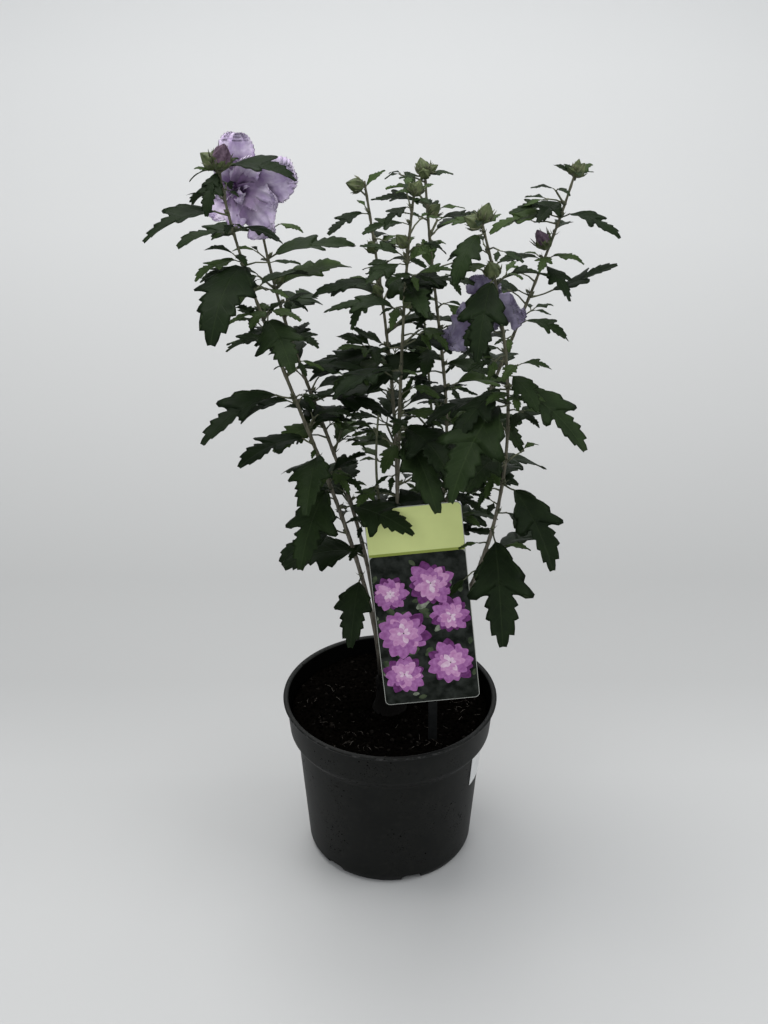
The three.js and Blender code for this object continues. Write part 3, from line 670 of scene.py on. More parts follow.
def add_bud(buds, twigs, root, out, length, radius, dice, coloured=False):
    """A pointed calyx of five keeled lobes on its short stalk, with its bracts."""
    side = unit(np.cross(out, (0.2, 0.3, 0.9)))
    other = np.cross(out, side)
    base = root + out * 1.0
    twigs.add(*tube([root, lerp(root, base, 0.5), base + out * 0.6], [0.9, 0.8, radius * 0.35], 6))
    rows, sides = 16, 30
    points, maps = [], []
    turn = dice.uniform(0, 6.3)
    pointed, crumple = (0.35, 0.09) if coloured else (0.3, 0.0)
    for i in range(rows + 1):
        v = i / rows
        girth = radius * (math.sin(math.pi * v**0.72) ** 0.7) * (1 - pointed * v**2)
        for j in range(sides):
            angle = 2 * math.pi * j / sides + turn
            keel = abs(math.cos(2.5 * (angle - turn))) ** 3
            rib = 1 + (0.26 * keel - 0.06) * math.sin(math.pi * v) ** 0.5
            rib += crumple * v * math.sin(6 * angle + 14 * v)
            spin = angle + (1.3 * v if coloured else 0.15 * v)
            spread = math.cos(spin) * side + math.sin(spin) * other
            points.append(base + out * (length * v + 0.8 * keel * v) + spread * girth * rib)
            maps.append((j / sides, v))
    paints = []
    for i in range(rows):
        for j in range(sides):
            lobe_end = 0.34 * rows + 3 * abs(math.cos(2.5 * 2 * math.pi * j / sides))
            paints.append(1 if coloured and i > lobe_end else 0)
    buds.add(points, ring_faces(rows, sides), paints, np.array(maps))
    bract = min(0.95 if coloured else 0.7, 14 / length) * length
    add_bracts(twigs, base, out, 10, bract, 1.1 * radius, dice)


def add_tuft(count, leaves, buds, twigs, stem, dice):
    """The crowded tip of a cane: young leaves and small buds among their bracts."""
    tip = stem.at(1.0)
    for k in range(count):
        turn = dice.uniform(0, 72) + 72 * k
        length = dice.uniform(11, 20)
        blade = Blade(tip - UP * dice.uniform(1, 7), turn, length, dice.uniform(30, 70),
                      dice.uniform(0, 50), stalk=3, width=dice.uniform(0.8, 1.1))
        add_leaf(leaves, blade, dice, SMALL_LEAF)
        add_stalk(twigs, blade, 0.5)
    for k in range(count - 1):
        out = heading(dice.uniform(0, 90) + 90 * k, dice.uniform(30, 80))
        size = dice.uniform(6, 10)
        add_bud(buds, twigs, tip - UP * dice.uniform(0, 3), out, size, 0.32 * size, dice)


def add_bloom(name, petals, buds, twigs, stem, bloom, dice):
    """A loose lilac flower: broad outer petals and narrow, twisted inner ones."""
    at, turn, rise, stalk, facing, first, radius = bloom
    root = stem.at(at)
    centre = root + heading(turn, rise) * stalk
    axis = unit(np.array(facing))
    twigs.add(*tube([root, lerp(root, centre, 0.5), centre - axis * 0.2 * radius], [1.5, 1.2, 1.5], 8))
    turned = np.array(Vector(UP).rotation_difference(Vector(axis)).to_matrix())
    origin = np.zeros(3)
    reach = BLOOM_REACH[name]

    def put(whorl, i, size, rise, droop, width, roll, depth, paint=0):
        """One petal of a whorl, whose turn is a share of the way to the next outer petal."""
        place = (i + whorl) % 5
        even = lerp(reach[int(place)], reach[(int(place) + 1) % 5], place % 1)
        blade = Blade(origin, first + 72 * place + dice.uniform(-5, 5), size * even * radius,
                      rise, droop, stalk=0, width=width, roll=roll, nod=0)
        crease = 0.022 * np.sin(PETAL.across * dice.uniform(7, 15) + dice.uniform(0, 6)) * PETAL.along
        frill = 0.02 * np.sin(PETAL.across * 31 + dice.uniform(0, 6)) * PETAL.along**4
        over = PETAL.over + wave(PETAL, dice, depth, dice.uniform(1.4, 3)) + crease + frill
        local = blade.points(PETAL.along, PETAL.out, over)
        petals.add(local @ turned.T + centre, PETAL.quads, paint, PETAL.maps)

    for i in range(5):
        put(0, i, 1.15 * dice.uniform(0.95, 1.03), 60, dice.uniform(-10, 12),
            dice.uniform(0.72, 0.95), 22, 0.09)
    for i in range(5):
        put(0.5, i, dice.uniform(0.85, 1), dice.uniform(60, 72), dice.uniform(-25, 5),
            dice.uniform(0.6, 0.85), dice.uniform(-30, 30), 0.12)
    for i in range(8):
        put(0.2 + 0.6 * i, 0, dice.uniform(0.4, 0.65), dice.uniform(66, 86), dice.uniform(-65, -15),
            dice.uniform(0.35, 0.65), dice.uniform(-60, 60), 0.12)
    for i in range(5):
        put(0.5, i, 0.42, 75, 10, 0.7, 0, 0.0, 1)
    base = centre - axis * 0.3 * radius
    add_bud(buds, twigs, base, axis, 0.34 * radius, 0.15 * radius, dice)


# ---------------------------------------------------------------- canes and stump


def cane_stem(cane):
    base = heading(cane["foot"], 0) * CANE["foot_radius"]
    base[2] = CANE["foot_height"]
    return Stem(base, cane["low"], cane["high"], cane["tip"])


def bark(path, radii, sides, depth, seed):
    """Radii with ridges that run along the limb, deeper towards its foot."""
    angles = np.arange(sides) * 2 * math.pi / sides
    rows = []
    for i, (point, radius) in enumerate(zip(path, radii)):
        share = 1 - i / len(path)
        row = []
        for angle in angles:
            spot = Vector((math.cos(angle) * 2.2 + seed, math.sin(angle) * 2.2, point[2] * 0.05))
            fine = Vector((math.cos(angle) * 5 + seed, math.sin(angle) * 5, point[2] * 0.35))
            row.append(radius + depth * share * (noise.noise(spot) + 0.5 * noise.noise(fine)))
        rows.append(row)
    return np.array(rows)


def add_cane(canes, cane, stem, joints, seed):
    """The whole cane from inside the stump to its tip, swollen where leaves leave it."""
    rings = int(stem.length / 2.2)
    shares = np.linspace(0, 1, rings)
    path = np.array([stem.at(share) for share in shares])
    knots = np.array([np.exp(-(((shares - joint) * stem.length / 2.4) ** 2)) for joint in joints])
    radii = SLIM * lerp(cane["girth"], CANE["tip_radius"], shares) + 0.25 * knots.max(axis=0)
    foot = path[0] + (path[0] - path[1]) * 3
    path = np.concatenate([[foot], path])
    radii = np.concatenate([[cane["girth"] + 0.8], radii])
    canes.add(*tube(path, bark(path, radii, 16, 0.3, seed), 16))


def add_stump(canes):
    """The stump: wide on the soil, drawn in, and a knobbly crown under the canes."""
    rows, sides = 40, 48
    points = []
    for i in range(rows + 1):
        share = i / rows
        rise = min(1.0, share / 0.86)
        flare = (TRUNK["flare"] - TRUNK["neck"]) * (1 - rise) ** 4
        radius = TRUNK["neck"] + flare + (TRUNK["top"] - TRUNK["neck"]) * rise**2
        level = SOIL_LEVEL - 3 + rise * (TRUNK["height"] + 2)
        if share > 0.86:
            cap = (share - 0.86) / 0.14
            radius *= math.cos(cap * math.pi / 2) ** 0.6 + 1e-3
            level += 2.6 * math.sin(cap * math.pi / 2)
        for j in range(sides):
            angle = 2 * math.pi * j / sides
            spot = Vector((math.cos(angle) * 1.6, math.sin(angle) * 1.6, level * 0.06))
            fine = Vector((math.cos(angle) * 6, math.sin(angle) * 6, level * 0.2))
            lump = 1 + 0.12 * noise.noise(spot) + 0.025 * noise.noise(fine)
            lean = TRUNK["lean"] * rise**2
            points.append((lean + radius * lump * math.cos(angle), radius * lump * math.sin(angle), level))
    ends = [[j for j in range(sides)][::-1], [rows * sides + j for j in range(sides)]]
    canes.add(points, ends + ring_faces(rows, sides))


# ---------------------------------------------------------------- pot, soil and label


def round_off(profile, radius, steps=4):
    """A profile whose corners are rounded; its first and last points stay."""
    out = [profile[0]]
    for before, corner, after in zip(profile, profile[1:], profile[2:]):
        before, corner, after = map(np.array, (before, corner, after))
        one = min(radius, 0.45 * np.linalg.norm(before - corner))
        two = min(radius, 0.45 * np.linalg.norm(after - corner))
        a, b = corner + unit(before - corner) * one, corner + unit(after - corner) * two
        for k in range(steps + 1):
            t = k / steps
            out.append(tuple((1 - t) ** 2 * a + 2 * t * (1 - t) * corner + t * t * b))
    return out + [profile[-1]]


def lathe(profile, segments, height=None):
    """A closed body turned round Z; height, if given, moves each corner up or down."""
    points, faces = [], []
    inner = profile[1:-1]
    for radius, level in inner:
        for j in range(segments):
            angle = 2 * math.pi * j / segments
            x, y = radius * math.cos(angle), radius * math.sin(angle)
            points.append((x, y, level + (height(x, y, level) if height else 0.0)))
    first, last = len(points), len(points) + 1
    for (_, level) in (profile[0], profile[-1]):
        points.append((0, 0, level + (height(0, 0, level) if height else 0.0)))
    for j in range(segments):
        k = (j + 1) % segments
        faces.append([first, k, j])
        for i in range(len(inner) - 1):
            a, b = i * segments, (i + 1) * segments
            faces.append([a + j, a + k, b + k, b + j])
        a = (len(inner) - 1) * segments
        faces.append([a + j, a + k, last])
    return points, faces


def make_pot(material):
    band_inner = POT["band_level"] + POT["ledge"]
    wall = POT["wall"]
    profile = [
        (0, 0),
        (POT["foot"] - 2, 0),
        (POT["foot"], 0.6),
        (POT["wall_foot"], POT["foot_round"]),
        (POT["wall_top"] - 0.3, POT["band_level"] - 6),
        (POT["band_foot"], POT["band_level"] + 1),
        (POT["band_top"], POT["height"] - POT["lip"]),
        (POT["rim"], POT["height"] - POT["lip"] + 1),
        (POT["rim"], POT["height"]),
        (POT["band_top"] - wall, POT["height"]),
        (POT["band_foot"] - wall, band_inner),
        (POT["wall_top"] - wall, POT["band_level"]),
        (POT["wall_foot"] - wall, POT["foot_round"]),
        (POT["foot"] - wall, POT["floor"]),
        (0, POT["floor"]),
    ]
    shell = Pile()
    shell.add(*lathe(round_off(profile, 2.4), POT["segments"]))
    pot = shell.piece("nursery_pot", "pot", [material], ["pot"])
    cutter = Pile()
    for i in range(NOTCH["count"]):
        add_notch(cutter, math.radians(-90 + NOTCH["first"] + i * 360 / NOTCH["count"]))
    blocks = bpy.data.meshes.new("notches")
    blocks.from_pydata((np.concatenate(cutter.points) * MM).tolist(), [], cutter.faces)
    tool = bpy.data.objects.new("notches", blocks)
    bpy.context.scene.collection.objects.link(tool)
    cut = pot.modifiers.new("notches", "BOOLEAN")
    cut.object, cut.operation, cut.solver = tool, "DIFFERENCE", "EXACT"
    bpy.context.view_layer.update()
    done = bpy.data.meshes.new_from_object(pot.evaluated_get(bpy.context.evaluated_depsgraph_get()))
    pot.modifiers.clear()
    pot.data = done
    bpy.data.objects.remove(tool)
    pot.data.set_sharp_from_angle(angle=math.radians(38))
    return pot


def add_notch(pile, turn):
    """A block with a rounded top edge that cuts one drain notch."""
    half, top, corner = NOTCH["width"] / 2, NOTCH["height"], NOTCH["round"]
    arch = [(-half, -1)]
    for k in range(5):
        angle = math.pi - k * math.pi / 8
        arch.append((-half + corner + corner * math.cos(angle), top - corner + corner * math.sin(angle)))
    arch += [(-x, z) for x, z in arch[::-1]]
    near, far = POT["wall_foot"] - NOTCH["depth"], POT["wall_foot"] + NOTCH["depth"]
    cos, sin = math.cos(turn), math.sin(turn)
    points = [(r * cos - x * sin, r * sin + x * cos, z) for r in (near, far) for x, z in arch]
    pile.add(points, prism_faces(len(arch)))


def soil_height(x, y, level):
    """Bumps on the top of the soil, which falls a little towards the pot's wall."""
    if level < SOIL_LEVEL - 0.5:
        return 0.0
    away = math.hypot(x, y)
    bumps = 1.9 * noise.noise(Vector((x, y, 3)) * 0.045) + 1.3 * noise.noise(Vector((x, y, 9)) * 0.13)
    fine = 0.8 * noise.noise(Vector((x, y, 5)) * 0.4)
    return bumps + fine - 2.2 * max(0.0, (away - 66) / 15) ** 2 + 1.6 * math.exp(-((away / 26) ** 2))


def make_soil(materials):
    """The peat: a bumpy top, crumbs and pale fibres on it, down to the pot's floor."""
    dice = random.Random(41)
    pile = Pile()
    top = [(radius, SOIL_LEVEL) for radius in np.linspace(79.5, 1.5, 44)]
    sides = [(0, 2.6), (61, 2.6), (64.9, 7), (73.6, 112.4), (79.4, 116), (80.4, 128)]
    profile = sides + top + [(0, SOIL_LEVEL)]
    pile.add(*lathe(profile, 160, soil_height))
    for _ in range(1500):
        away, angle = 79 * math.sqrt(dice.random()), dice.uniform(0, 6.3)
        x, y = away * math.cos(angle), away * math.sin(angle)
        if away > 15:
            add_crumb(pile, (x, y, SOIL_LEVEL + soil_height(x, y, SOIL_LEVEL)), dice)
    for _ in range(55):
        away, angle = 76 * math.sqrt(dice.random()), dice.uniform(0, 6.3)
        for _ in range(dice.choice((1, 2, 3, 9, 16))):
            x = away * math.cos(angle) + dice.gauss(0, 5)
            y = away * math.sin(angle) + dice.gauss(0, 5)
            if 17 < math.hypot(x, y) < 76:
                add_fibre(pile, x, y, dice)
    return pile.piece("peat", "soil", materials, ["soil"])


def add_crumb(pile, place, dice):
    """One irregular lump, half sunk in the peat."""
    size = dice.choice((0.5, 0.7, 0.9, 1.3, 1.9)) * dice.uniform(0.8, 1.3)
    golden = (1 + math.sqrt(5)) / 2
    corners = []
    for a in (-1, 1):
        for b in (-golden, golden):
            corners += [(0, a, b), (a, b, 0), (b, 0, a)]
    shape = np.array(corners) / 1.9
    shape = shape * np.array([[dice.uniform(0.45, 1.3)] for _ in corners])
    shape = shape * (dice.uniform(0.7, 1.3), dice.uniform(0.7, 1.3), dice.uniform(0.5, 0.9))
    hull = CRUMB_FACES or crumb_faces(corners)
    pile.add(shape * size + np.array(place), hull, 0 if dice.random() < 0.8 else 1)


CRUMB_FACES = []


def crumb_faces(corners):
    """The twenty triangles of the lump, each three corners that stand two apart."""
    places = np.array(corners, float)
    near = [
        [j for j in range(12) if abs(np.linalg.norm(places[i] - places[j]) - 2) < 0.01]
        for i in range(12)
    ]
    for i in range(12):
        for j in near[i]:
            for k in near[j]:
                if i < j < k and k in near[i]:
                    outward = np.cross(places[j] - places[i], places[k] - places[i]).dot(places[i])
                    CRUMB_FACES.append([i, j, k] if outward > 0 else [i, k, j])
    return CRUMB_FACES


def add_fibre(pile, x, y, dice):
    """A thin bent strand of peat that lies on the soil."""
    turn, length = dice.uniform(0, 6.3), dice.uniform(1.5, 7)
    bend, lift = dice.gauss(0, 0.35), dice.uniform(0, 0.6)
    path = []
    for k in range(5):
        s = k / 4
        px = x + length * s * math.cos(turn + bend * s)
        py = y + length * s * math.sin(turn + bend * s)
        if math.hypot(px, py) > 78:
            return
        level = SOIL_LEVEL + soil_height(px, py, SOIL_LEVEL)
        path.append((px, py, level + 0.3 + lift * math.sin(math.pi * s)))
    girth = dice.uniform(0.08, 0.24)
    pile.add(*tube(path, [girth, girth, girth, girth * 0.8, girth * 0.4], 4), dice.choice((1, 1, 2)))


def label_matrix():
    """The label's own frame: its foot where the stem enters the soil."""
    x, y = LABEL["foot"]
    turned = Matrix.Rotation(math.radians(-LABEL["lean_back"]), 4, "X")
    return Matrix.Translation((x, y, SOIL_LEVEL)) @ turned


def placed(points):
    matrix = np.array(label_matrix())
    return np.asarray(points) @ matrix[:3, :3].T + matrix[:3, 3]


def on_card(spots, depth):
    """Points of the leaning card, from places across it and up from its foot."""
    lean = math.radians(LABEL["lean_left"])
    cos, sin = math.cos(lean), math.sin(lean)
    return [(x * cos - z * sin, depth, LABEL["shown"] + x * sin + z * cos) for x, z in spots]


def rounded(width, height, corner, level, steps=6):
    """The corners of a rounded rectangle in the label's plane, from its foot up."""
    spots = []
    for cx, cz, first in ((1, 0, -90), (1, 1, 0), (-1, 1, 90), (-1, 0, 180)):
        for k in range(steps + 1):
            angle = math.radians(first + 90 * k / steps)
            x = cx * (width / 2 - corner) + corner * math.cos(angle)
            z = level + (corner if cz == 0 else height - corner) + corner * math.sin(angle)
            spots.append((x, z))
    return spots


def slab(pile, front, back, paint=0):
    """A flat plate between two rings of points in the label's frame."""
    pile.add(placed(list(front) + list(back)), prism_faces(len(front)), paint)


def make_label(card_material, stem_material, prints):
    """A plain card with a bare header, and a plain pattern of its own below it."""
    shown, height, thickness = LABEL["shown"], LABEL["height"], LABEL["thickness"]
    card = Pile()
    rim = rounded(LABEL["width"], height, LABEL["corner"], 0)
    slab(card, on_card(rim, 0.04), on_card(rim, thickness))
    card.piece("label_card", "label", [card_material], ["plant_label"], smooth=False)
    stem = Pile()
    half, deep, buried = LABEL["stem_width"] / 2, LABEL["stem_thickness"], LABEL["buried"]
    top = shown + 0.3 * height
    point = [(-half, 8 - buried), (0, -buried), (half, 8 - buried)]
    back = point + [(half, top - 2), (half - 2, top), (2 - half, top), (-half, top - 2)]
    slab(stem, [(x, thickness, z) for x, z in back], [(x, deep, z) for x, z in back])
    front = point + [(half, shown - 0.3), (-half, shown - 0.3)]
    slab(stem, [(x, 0.1, z) for x, z in front], [(x, thickness, z) for x, z in front])
    stem.piece("label_stem", "label", [stem_material], smooth=False)
    printed = Pile()
    margin, header = LABEL["margin"], LABEL["header"]
    head_foot = height - header
    inside = LABEL["width"] - 2 * margin
    field = rounded(inside, height - header - margin, LABEL["corner"] - margin, margin)
    field = [(x, min(z, head_foot)) for x, z in field]
    slab(printed, on_card(field, 0.0), on_card(field, 0.04), 0)
    head = rounded(inside, header - margin, LABEL["corner"] - margin, head_foot)
    head = [(x if z > head_foot + 4 else math.copysign(inside / 2, x), z) for x, z in head]
    slab(printed, on_card(head, 0.0), on_card(head, 0.04), 1)
    edge, line = inside / 2, LABEL["line"]
    strip = [(-edge, head_foot), (edge, head_foot), (edge, head_foot + line), (-edge, head_foot + line)]
    slab(printed, on_card(strip, -0.02), on_card(strip, 0.0), 2)
    add_rosettes(printed, inside, margin, head_foot)
    printed.piece("label_print", "label", prints, smooth=False)


# The printed rosettes: across and up the card, and size, in millimetres.
ROSETTES = [(-20, 26, 17), (17, 33, 20), (-17, 62, 21), (21, 74, 16), (-24, 97, 15), (8, 103, 19)]
RINGS = ((1.0, 13), (0.8, 12), (0.6, 10), (0.42, 8), (0.26, 6))  # reach, and petals


def add_rosettes(printed, width, low, high):
    """Full rosettes, each of five rings of pointed petals, over slim leaves."""
    dice = random.Random(7)
    depth = -0.02
    for _ in range(46):
        x, z, turn = dice.uniform(-width / 2, width / 2), dice.uniform(low, high), dice.uniform(0, 6.3)
        long = dice.uniform(5, 11)
        add_print(printed, petal_spots(x, z, turn, 0, long, 0.3 * long), width, low, high, depth,
                  dice.choice((7, 7, 7, 8)))
        depth -= 0.001
    for x, z, size in ROSETTES:
        for ring, (reach, count) in enumerate(RINGS):
            first = dice.uniform(0, 6.3)
            for k in range(count):
                turn = first + 2 * math.pi * (k + dice.uniform(-0.15, 0.15)) / count
                long = size * reach * dice.uniform(0.85, 1.08)
                paint = dice.choice(((3, 4, 4), (4, 4, 5), (4, 5, 5), (5, 5, 6), (5, 6, 6))[ring])
                spots = petal_spots(x, z, turn, 0.1 * size * reach, long, 0.26 * long)
                add_print(printed, spots, width, low, high, depth, paint)
                depth -= 0.0006


def petal_spots(x, z, turn, near, far, wide):
    """The ring of a pointed petal that runs outwards from a flower's middle."""
    cos, sin = math.cos(turn), math.sin(turn)
    shape = ((0, 0.25), (0.25, 0.75), (0.55, 1), (0.8, 0.75), (0.95, 0.3), (1, 0))
    half = [(lerp(near, far, along), wide * out) for along, out in shape]
    ring = half + [(along, -out) for along, out in half[-2::-1]]
    return [(x + a * cos - b * sin, z + a * sin + b * cos) for a, b in ring]


def add_print(printed, spots, width, low, high, depth, paint):
    """One flat printed shape, kept inside the picture's field."""
    edge = width / 2 - 0.6
    kept = [(max(-edge, min(edge, x)), max(low + 0.6, min(high - 0.4, z))) for x, z in spots]
    xs, zs = [x for x, _ in kept], [z for _, z in kept]
    if max(xs) - min(xs) < 1 or max(zs) - min(zs) < 1:
        return
    printed.add(placed(on_card(kept, depth)), [list(range(len(kept)))], paint)


# ---------------------------------------------------------------- materials


class Paint:
    """A procedural material built up on one principled shader."""

    def __init__(self, name, roughness, specular=0.5):
        self.material = bpy.data.materials.new(name)
        self.material.use_nodes = True
        self.tree = self.material.node_tree
        self.shader = self.tree.nodes["Principled BSDF"]
        self.shader.inputs["Roughness"].default_value = roughness
        self.shader.inputs["Specular IOR Level"].default_value = specular
        self.place = self.node("ShaderNodeTexCoord").outputs["Object"]
        self.bumps = None

    def node(self, kind, **settings):
        node = self.tree.nodes.new(kind)
        for key, value in settings.items():
            setattr(node, key, value)
        return node

    def link(self, out, into):
        self.tree.links.new(out, into)

    def noise(self, grain, detail=3.0, stretch=None):
        """A noise whose patches are about one grain, in millimetres, across."""
        place = self.place
        if stretch:
            mapping = self.node("ShaderNodeMapping")
            mapping.inputs["Scale"].default_value = stretch
            self.link(place, mapping.inputs["Vector"])
            place = mapping.outputs["Vector"]
        texture = self.node("ShaderNodeTexNoise")
        texture.inputs["Scale"].default_value = 1 / (grain * MM)
        texture.inputs["Detail"].default_value = detail
        self.link(place, texture.inputs["Vector"])
        return texture.outputs["Fac"]

    def between(self, value, low, high):
        """A value spread from 0 at low to 1 at high."""
        node = self.node("ShaderNodeMapRange")
        node.inputs["From Min"].default_value = low
        node.inputs["From Max"].default_value = high
        self.link(value, node.inputs["Value"])
        return node.outputs["Result"]

    def math(self, operation, a, b=None):
        node = self.node("ShaderNodeMath", operation=operation)
        for socket, value in zip(node.inputs, (a, b)):
            if isinstance(value, (int, float)):
                socket.default_value = value
            elif value is not None:
                self.link(value, socket)
        return node.outputs[0]

    def mix(self, share, a, b):
        """A colour between two, each a colour or an output."""
        node = self.node("ShaderNodeMix", data_type="RGBA")
        for socket, value in ((node.inputs[0], share), (node.inputs[6], a), (node.inputs[7], b)):
            if isinstance(value, tuple):
                socket.default_value = (*value, 1)
            elif isinstance(value, float):
                socket.default_value = value
            else:
                self.link(value, socket)
        return node.outputs[2]

    def colour(self, value):
        self.link(value, self.shader.inputs["Base Color"])
        return self

    def bump(self, height, distance, strength=1.0):
        node = self.node("ShaderNodeBump")
        node.inputs["Distance"].default_value = distance * MM
        node.inputs["Strength"].default_value = strength
        self.link(height, node.inputs["Height"])
        if self.bumps:
            self.link(self.bumps, node.inputs["Normal"])
        self.bumps = node.outputs["Normal"]
        self.link(self.bumps, self.shader.inputs["Normal"])
        return self

    def blade_map(self):
        """The two numbers of a blade's own map: across it, and along it."""
        split = self.node("ShaderNodeSeparateXYZ")
        self.link(self.node("ShaderNodeUVMap", uv_map="blade").outputs["UV"], split.inputs["Vector"])
        return split.outputs["X"], split.outputs["Y"]


def leaf_paint(name, dark, light, vein, roughness=0.5):
    """Mottled green with a pale rib, two side veins and fine veins that branch off it."""
    paint = Paint(name, roughness, 0.06)
    out, along = paint.blade_map()
    body = paint.mix(paint.between(paint.noise(14), 0.35, 0.65), dark, light)
    aside = paint.math("ABSOLUTE", paint.math("SUBTRACT", out, 0.5))
    rib = paint.between(aside, 0.011, 0.004)
    lobe = paint.math("SUBTRACT", aside, paint.math("MULTIPLY", along, 0.68))
    lobe = paint.between(paint.math("ABSOLUTE", lobe), 0.011, 0.004)
    lobe = paint.math("MULTIPLY", lobe, paint.between(along, 0.46, 0.38))
    fans = paint.math("SUBTRACT", paint.math("MULTIPLY", along, 9.0), paint.math("MULTIPLY", aside, 8.0))
    fans = paint.math("ABSOLUTE", paint.math("SUBTRACT", paint.math("FRACT", fans), 0.5))
    fine = paint.math("MULTIPLY", paint.between(fans, 0.09, 0.0), 0.4)
    veins = paint.math("MAXIMUM", paint.math("MAXIMUM", rib, lobe), fine)
    paint.colour(paint.mix(paint.math("MULTIPLY", veins, 0.4), body, vein))
    paint.bump(veins, -0.35, 0.6)
    paint.bump(paint.noise(1.4, 4), 0.2, 0.5)
    paint.bump(paint.noise(5), 0.6, 0.5)
    return paint.material


def petal_paint(name, pale, deep, throat):
    paint = Paint(name, 0.55, 0.2)
    across, along = paint.blade_map()
    fan = paint.math("MULTIPLY", across, 40.0)
    stripes = paint.math("ABSOLUTE", paint.math("SINE", fan))
    stripes = paint.math("MULTIPLY", paint.between(stripes, 0.4, 0.0), 0.3)
    body = paint.mix(paint.between(paint.noise(9), 0.35, 0.65), pale, deep)
    body = paint.mix(stripes, body, deep)
    paint.colour(paint.mix(paint.between(along, 0.42, 0.08), body, throat))
    paint.bump(stripes, 0.25, 0.5)
    paint.shader.inputs["Sheen Weight"].default_value = 0.15
    return paint.material


def plain_paint(name, dark, light, roughness, grain, bump, specular=0.3):
    paint = Paint(name, roughness, specular)
    paint.colour(paint.mix(paint.between(paint.noise(grain), 0.35, 0.65), dark, light))
    paint.bump(paint.noise(grain * 0.3, 5), bump, 0.7)
    return paint.material


def bark_paint():
    """Grey-brown bark at the foot that turns into green, softly ribbed shoots."""
    paint = Paint("young_bark", 0.8, 0.1)
    split = paint.node("ShaderNodeSeparateXYZ")
    paint.link(paint.place, split.inputs["Vector"])
    height = paint.between(split.outputs["Z"], 0.25, 0.52)
    streaks = paint.between(paint.noise(1.6, 5, (1, 1, 0.12)), 0.3, 0.7)
    old = paint.mix(streaks, (0.05, 0.044, 0.034), (0.19, 0.172, 0.14))
    young = paint.mix(streaks, (0.06, 0.06, 0.04), (0.16, 0.155, 0.105))
    wander = paint.math("ADD", height, paint.math("MULTIPLY", paint.noise(20), 0.3))
    above = paint.between(split.outputs["Z"], 0.165, 0.21)
    body = paint.mix(paint.between(wander, 0.2, 1.0), old, young)
    paint.colour(paint.mix(above, (0.0025, 0.002, 0.0016), body))
    paint.bump(streaks, 0.35, 0.8)
    paint.bump(paint.noise(0.8, 4), 0.15, 0.6)
    return paint.material


def pot_paint():
    """Charcoal moulded plastic, a little dusty, with a few stuck specks of peat; a painted highlight on the
    rim lip and painted shade inside.
    """
    paint = Paint("charcoal_plastic", 0.48, 0.1)
    tone = paint.between(paint.noise(30), 0.35, 0.65)
    body = paint.mix(tone, (0.0062, 0.0068, 0.0063), (0.0092, 0.0098, 0.009))
    dust = paint.math("MULTIPLY", paint.between(paint.noise(5, 6), 0.52, 0.8), 0.25)
    body = paint.mix(dust, body, (0.026, 0.025, 0.021))
    split = paint.node("ShaderNodeSeparateXYZ")
    paint.link(paint.place, split.inputs["Vector"])
    away = paint.node("ShaderNodeVectorMath", operation="LENGTH")
    flat = paint.node("ShaderNodeCombineXYZ")
    paint.link(split.outputs["X"], flat.inputs["X"])
    paint.link(split.outputs["Y"], flat.inputs["Y"])
    paint.link(flat.outputs["Vector"], away.inputs[0])
    # Light streaks on the rim lip: a painted highlight.
    rim = paint.between(away.outputs["Value"], 0.0862, 0.087)
    rim_highlight = paint.math("MULTIPLY", rim, paint.between(paint.noise(4, 4), 0.52, 0.68))
    body = paint.mix(rim_highlight, body, (0.05, 0.05, 0.05))
    # The pot's inside wall is painted near black and gets no shine: painted shade.
    leaning = paint.math("SUBTRACT", away.outputs["Value"], paint.math("MULTIPLY", split.outputs["Z"], 0.1))
    unshaded_outside = paint.between(leaning, 0.0685, 0.0689)
    unshaded_outside = paint.math("MAXIMUM", unshaded_outside, paint.between(split.outputs["Z"], 0.1145, 0.1135))
    body = paint.mix(unshaded_outside, (0.0016, 0.0016, 0.0015), body)
    shine = paint.math("MULTIPLY", unshaded_outside, 0.1)
    ragged = paint.math("MULTIPLY", paint.noise(0.9, 4), 0.3)
    for size, share in ((4, 0.6), (2.2, 0.56), (1.2, 0.53)):
        cells = paint.node("ShaderNodeTexVoronoi")
        cells.inputs["Scale"].default_value = 1 / (size * MM)
        paint.link(paint.place, cells.inputs["Vector"])
        rare = paint.between(paint.noise(26 + 2 * size), share, share + 0.04)
        lump = paint.math("ADD", cells.outputs["Distance"], ragged)
        specks = paint.math("MULTIPLY", paint.between(lump, 0.36, 0.3), rare)
        body = paint.mix(specks, body, (0.0014, 0.0012, 0.001))
        shine = paint.math("MULTIPLY", shine, paint.math("SUBTRACT", 1.0, specks))
        paint.bump(specks, 0.3, 0.8)
    paint.colour(body)
    paint.link(shine, paint.shader.inputs["Specular IOR Level"])
    paint.bump(paint.noise(0.7, 3), 0.04, 0.5)
    return paint.material


# ---------------------------------------------------------------- the whole plant


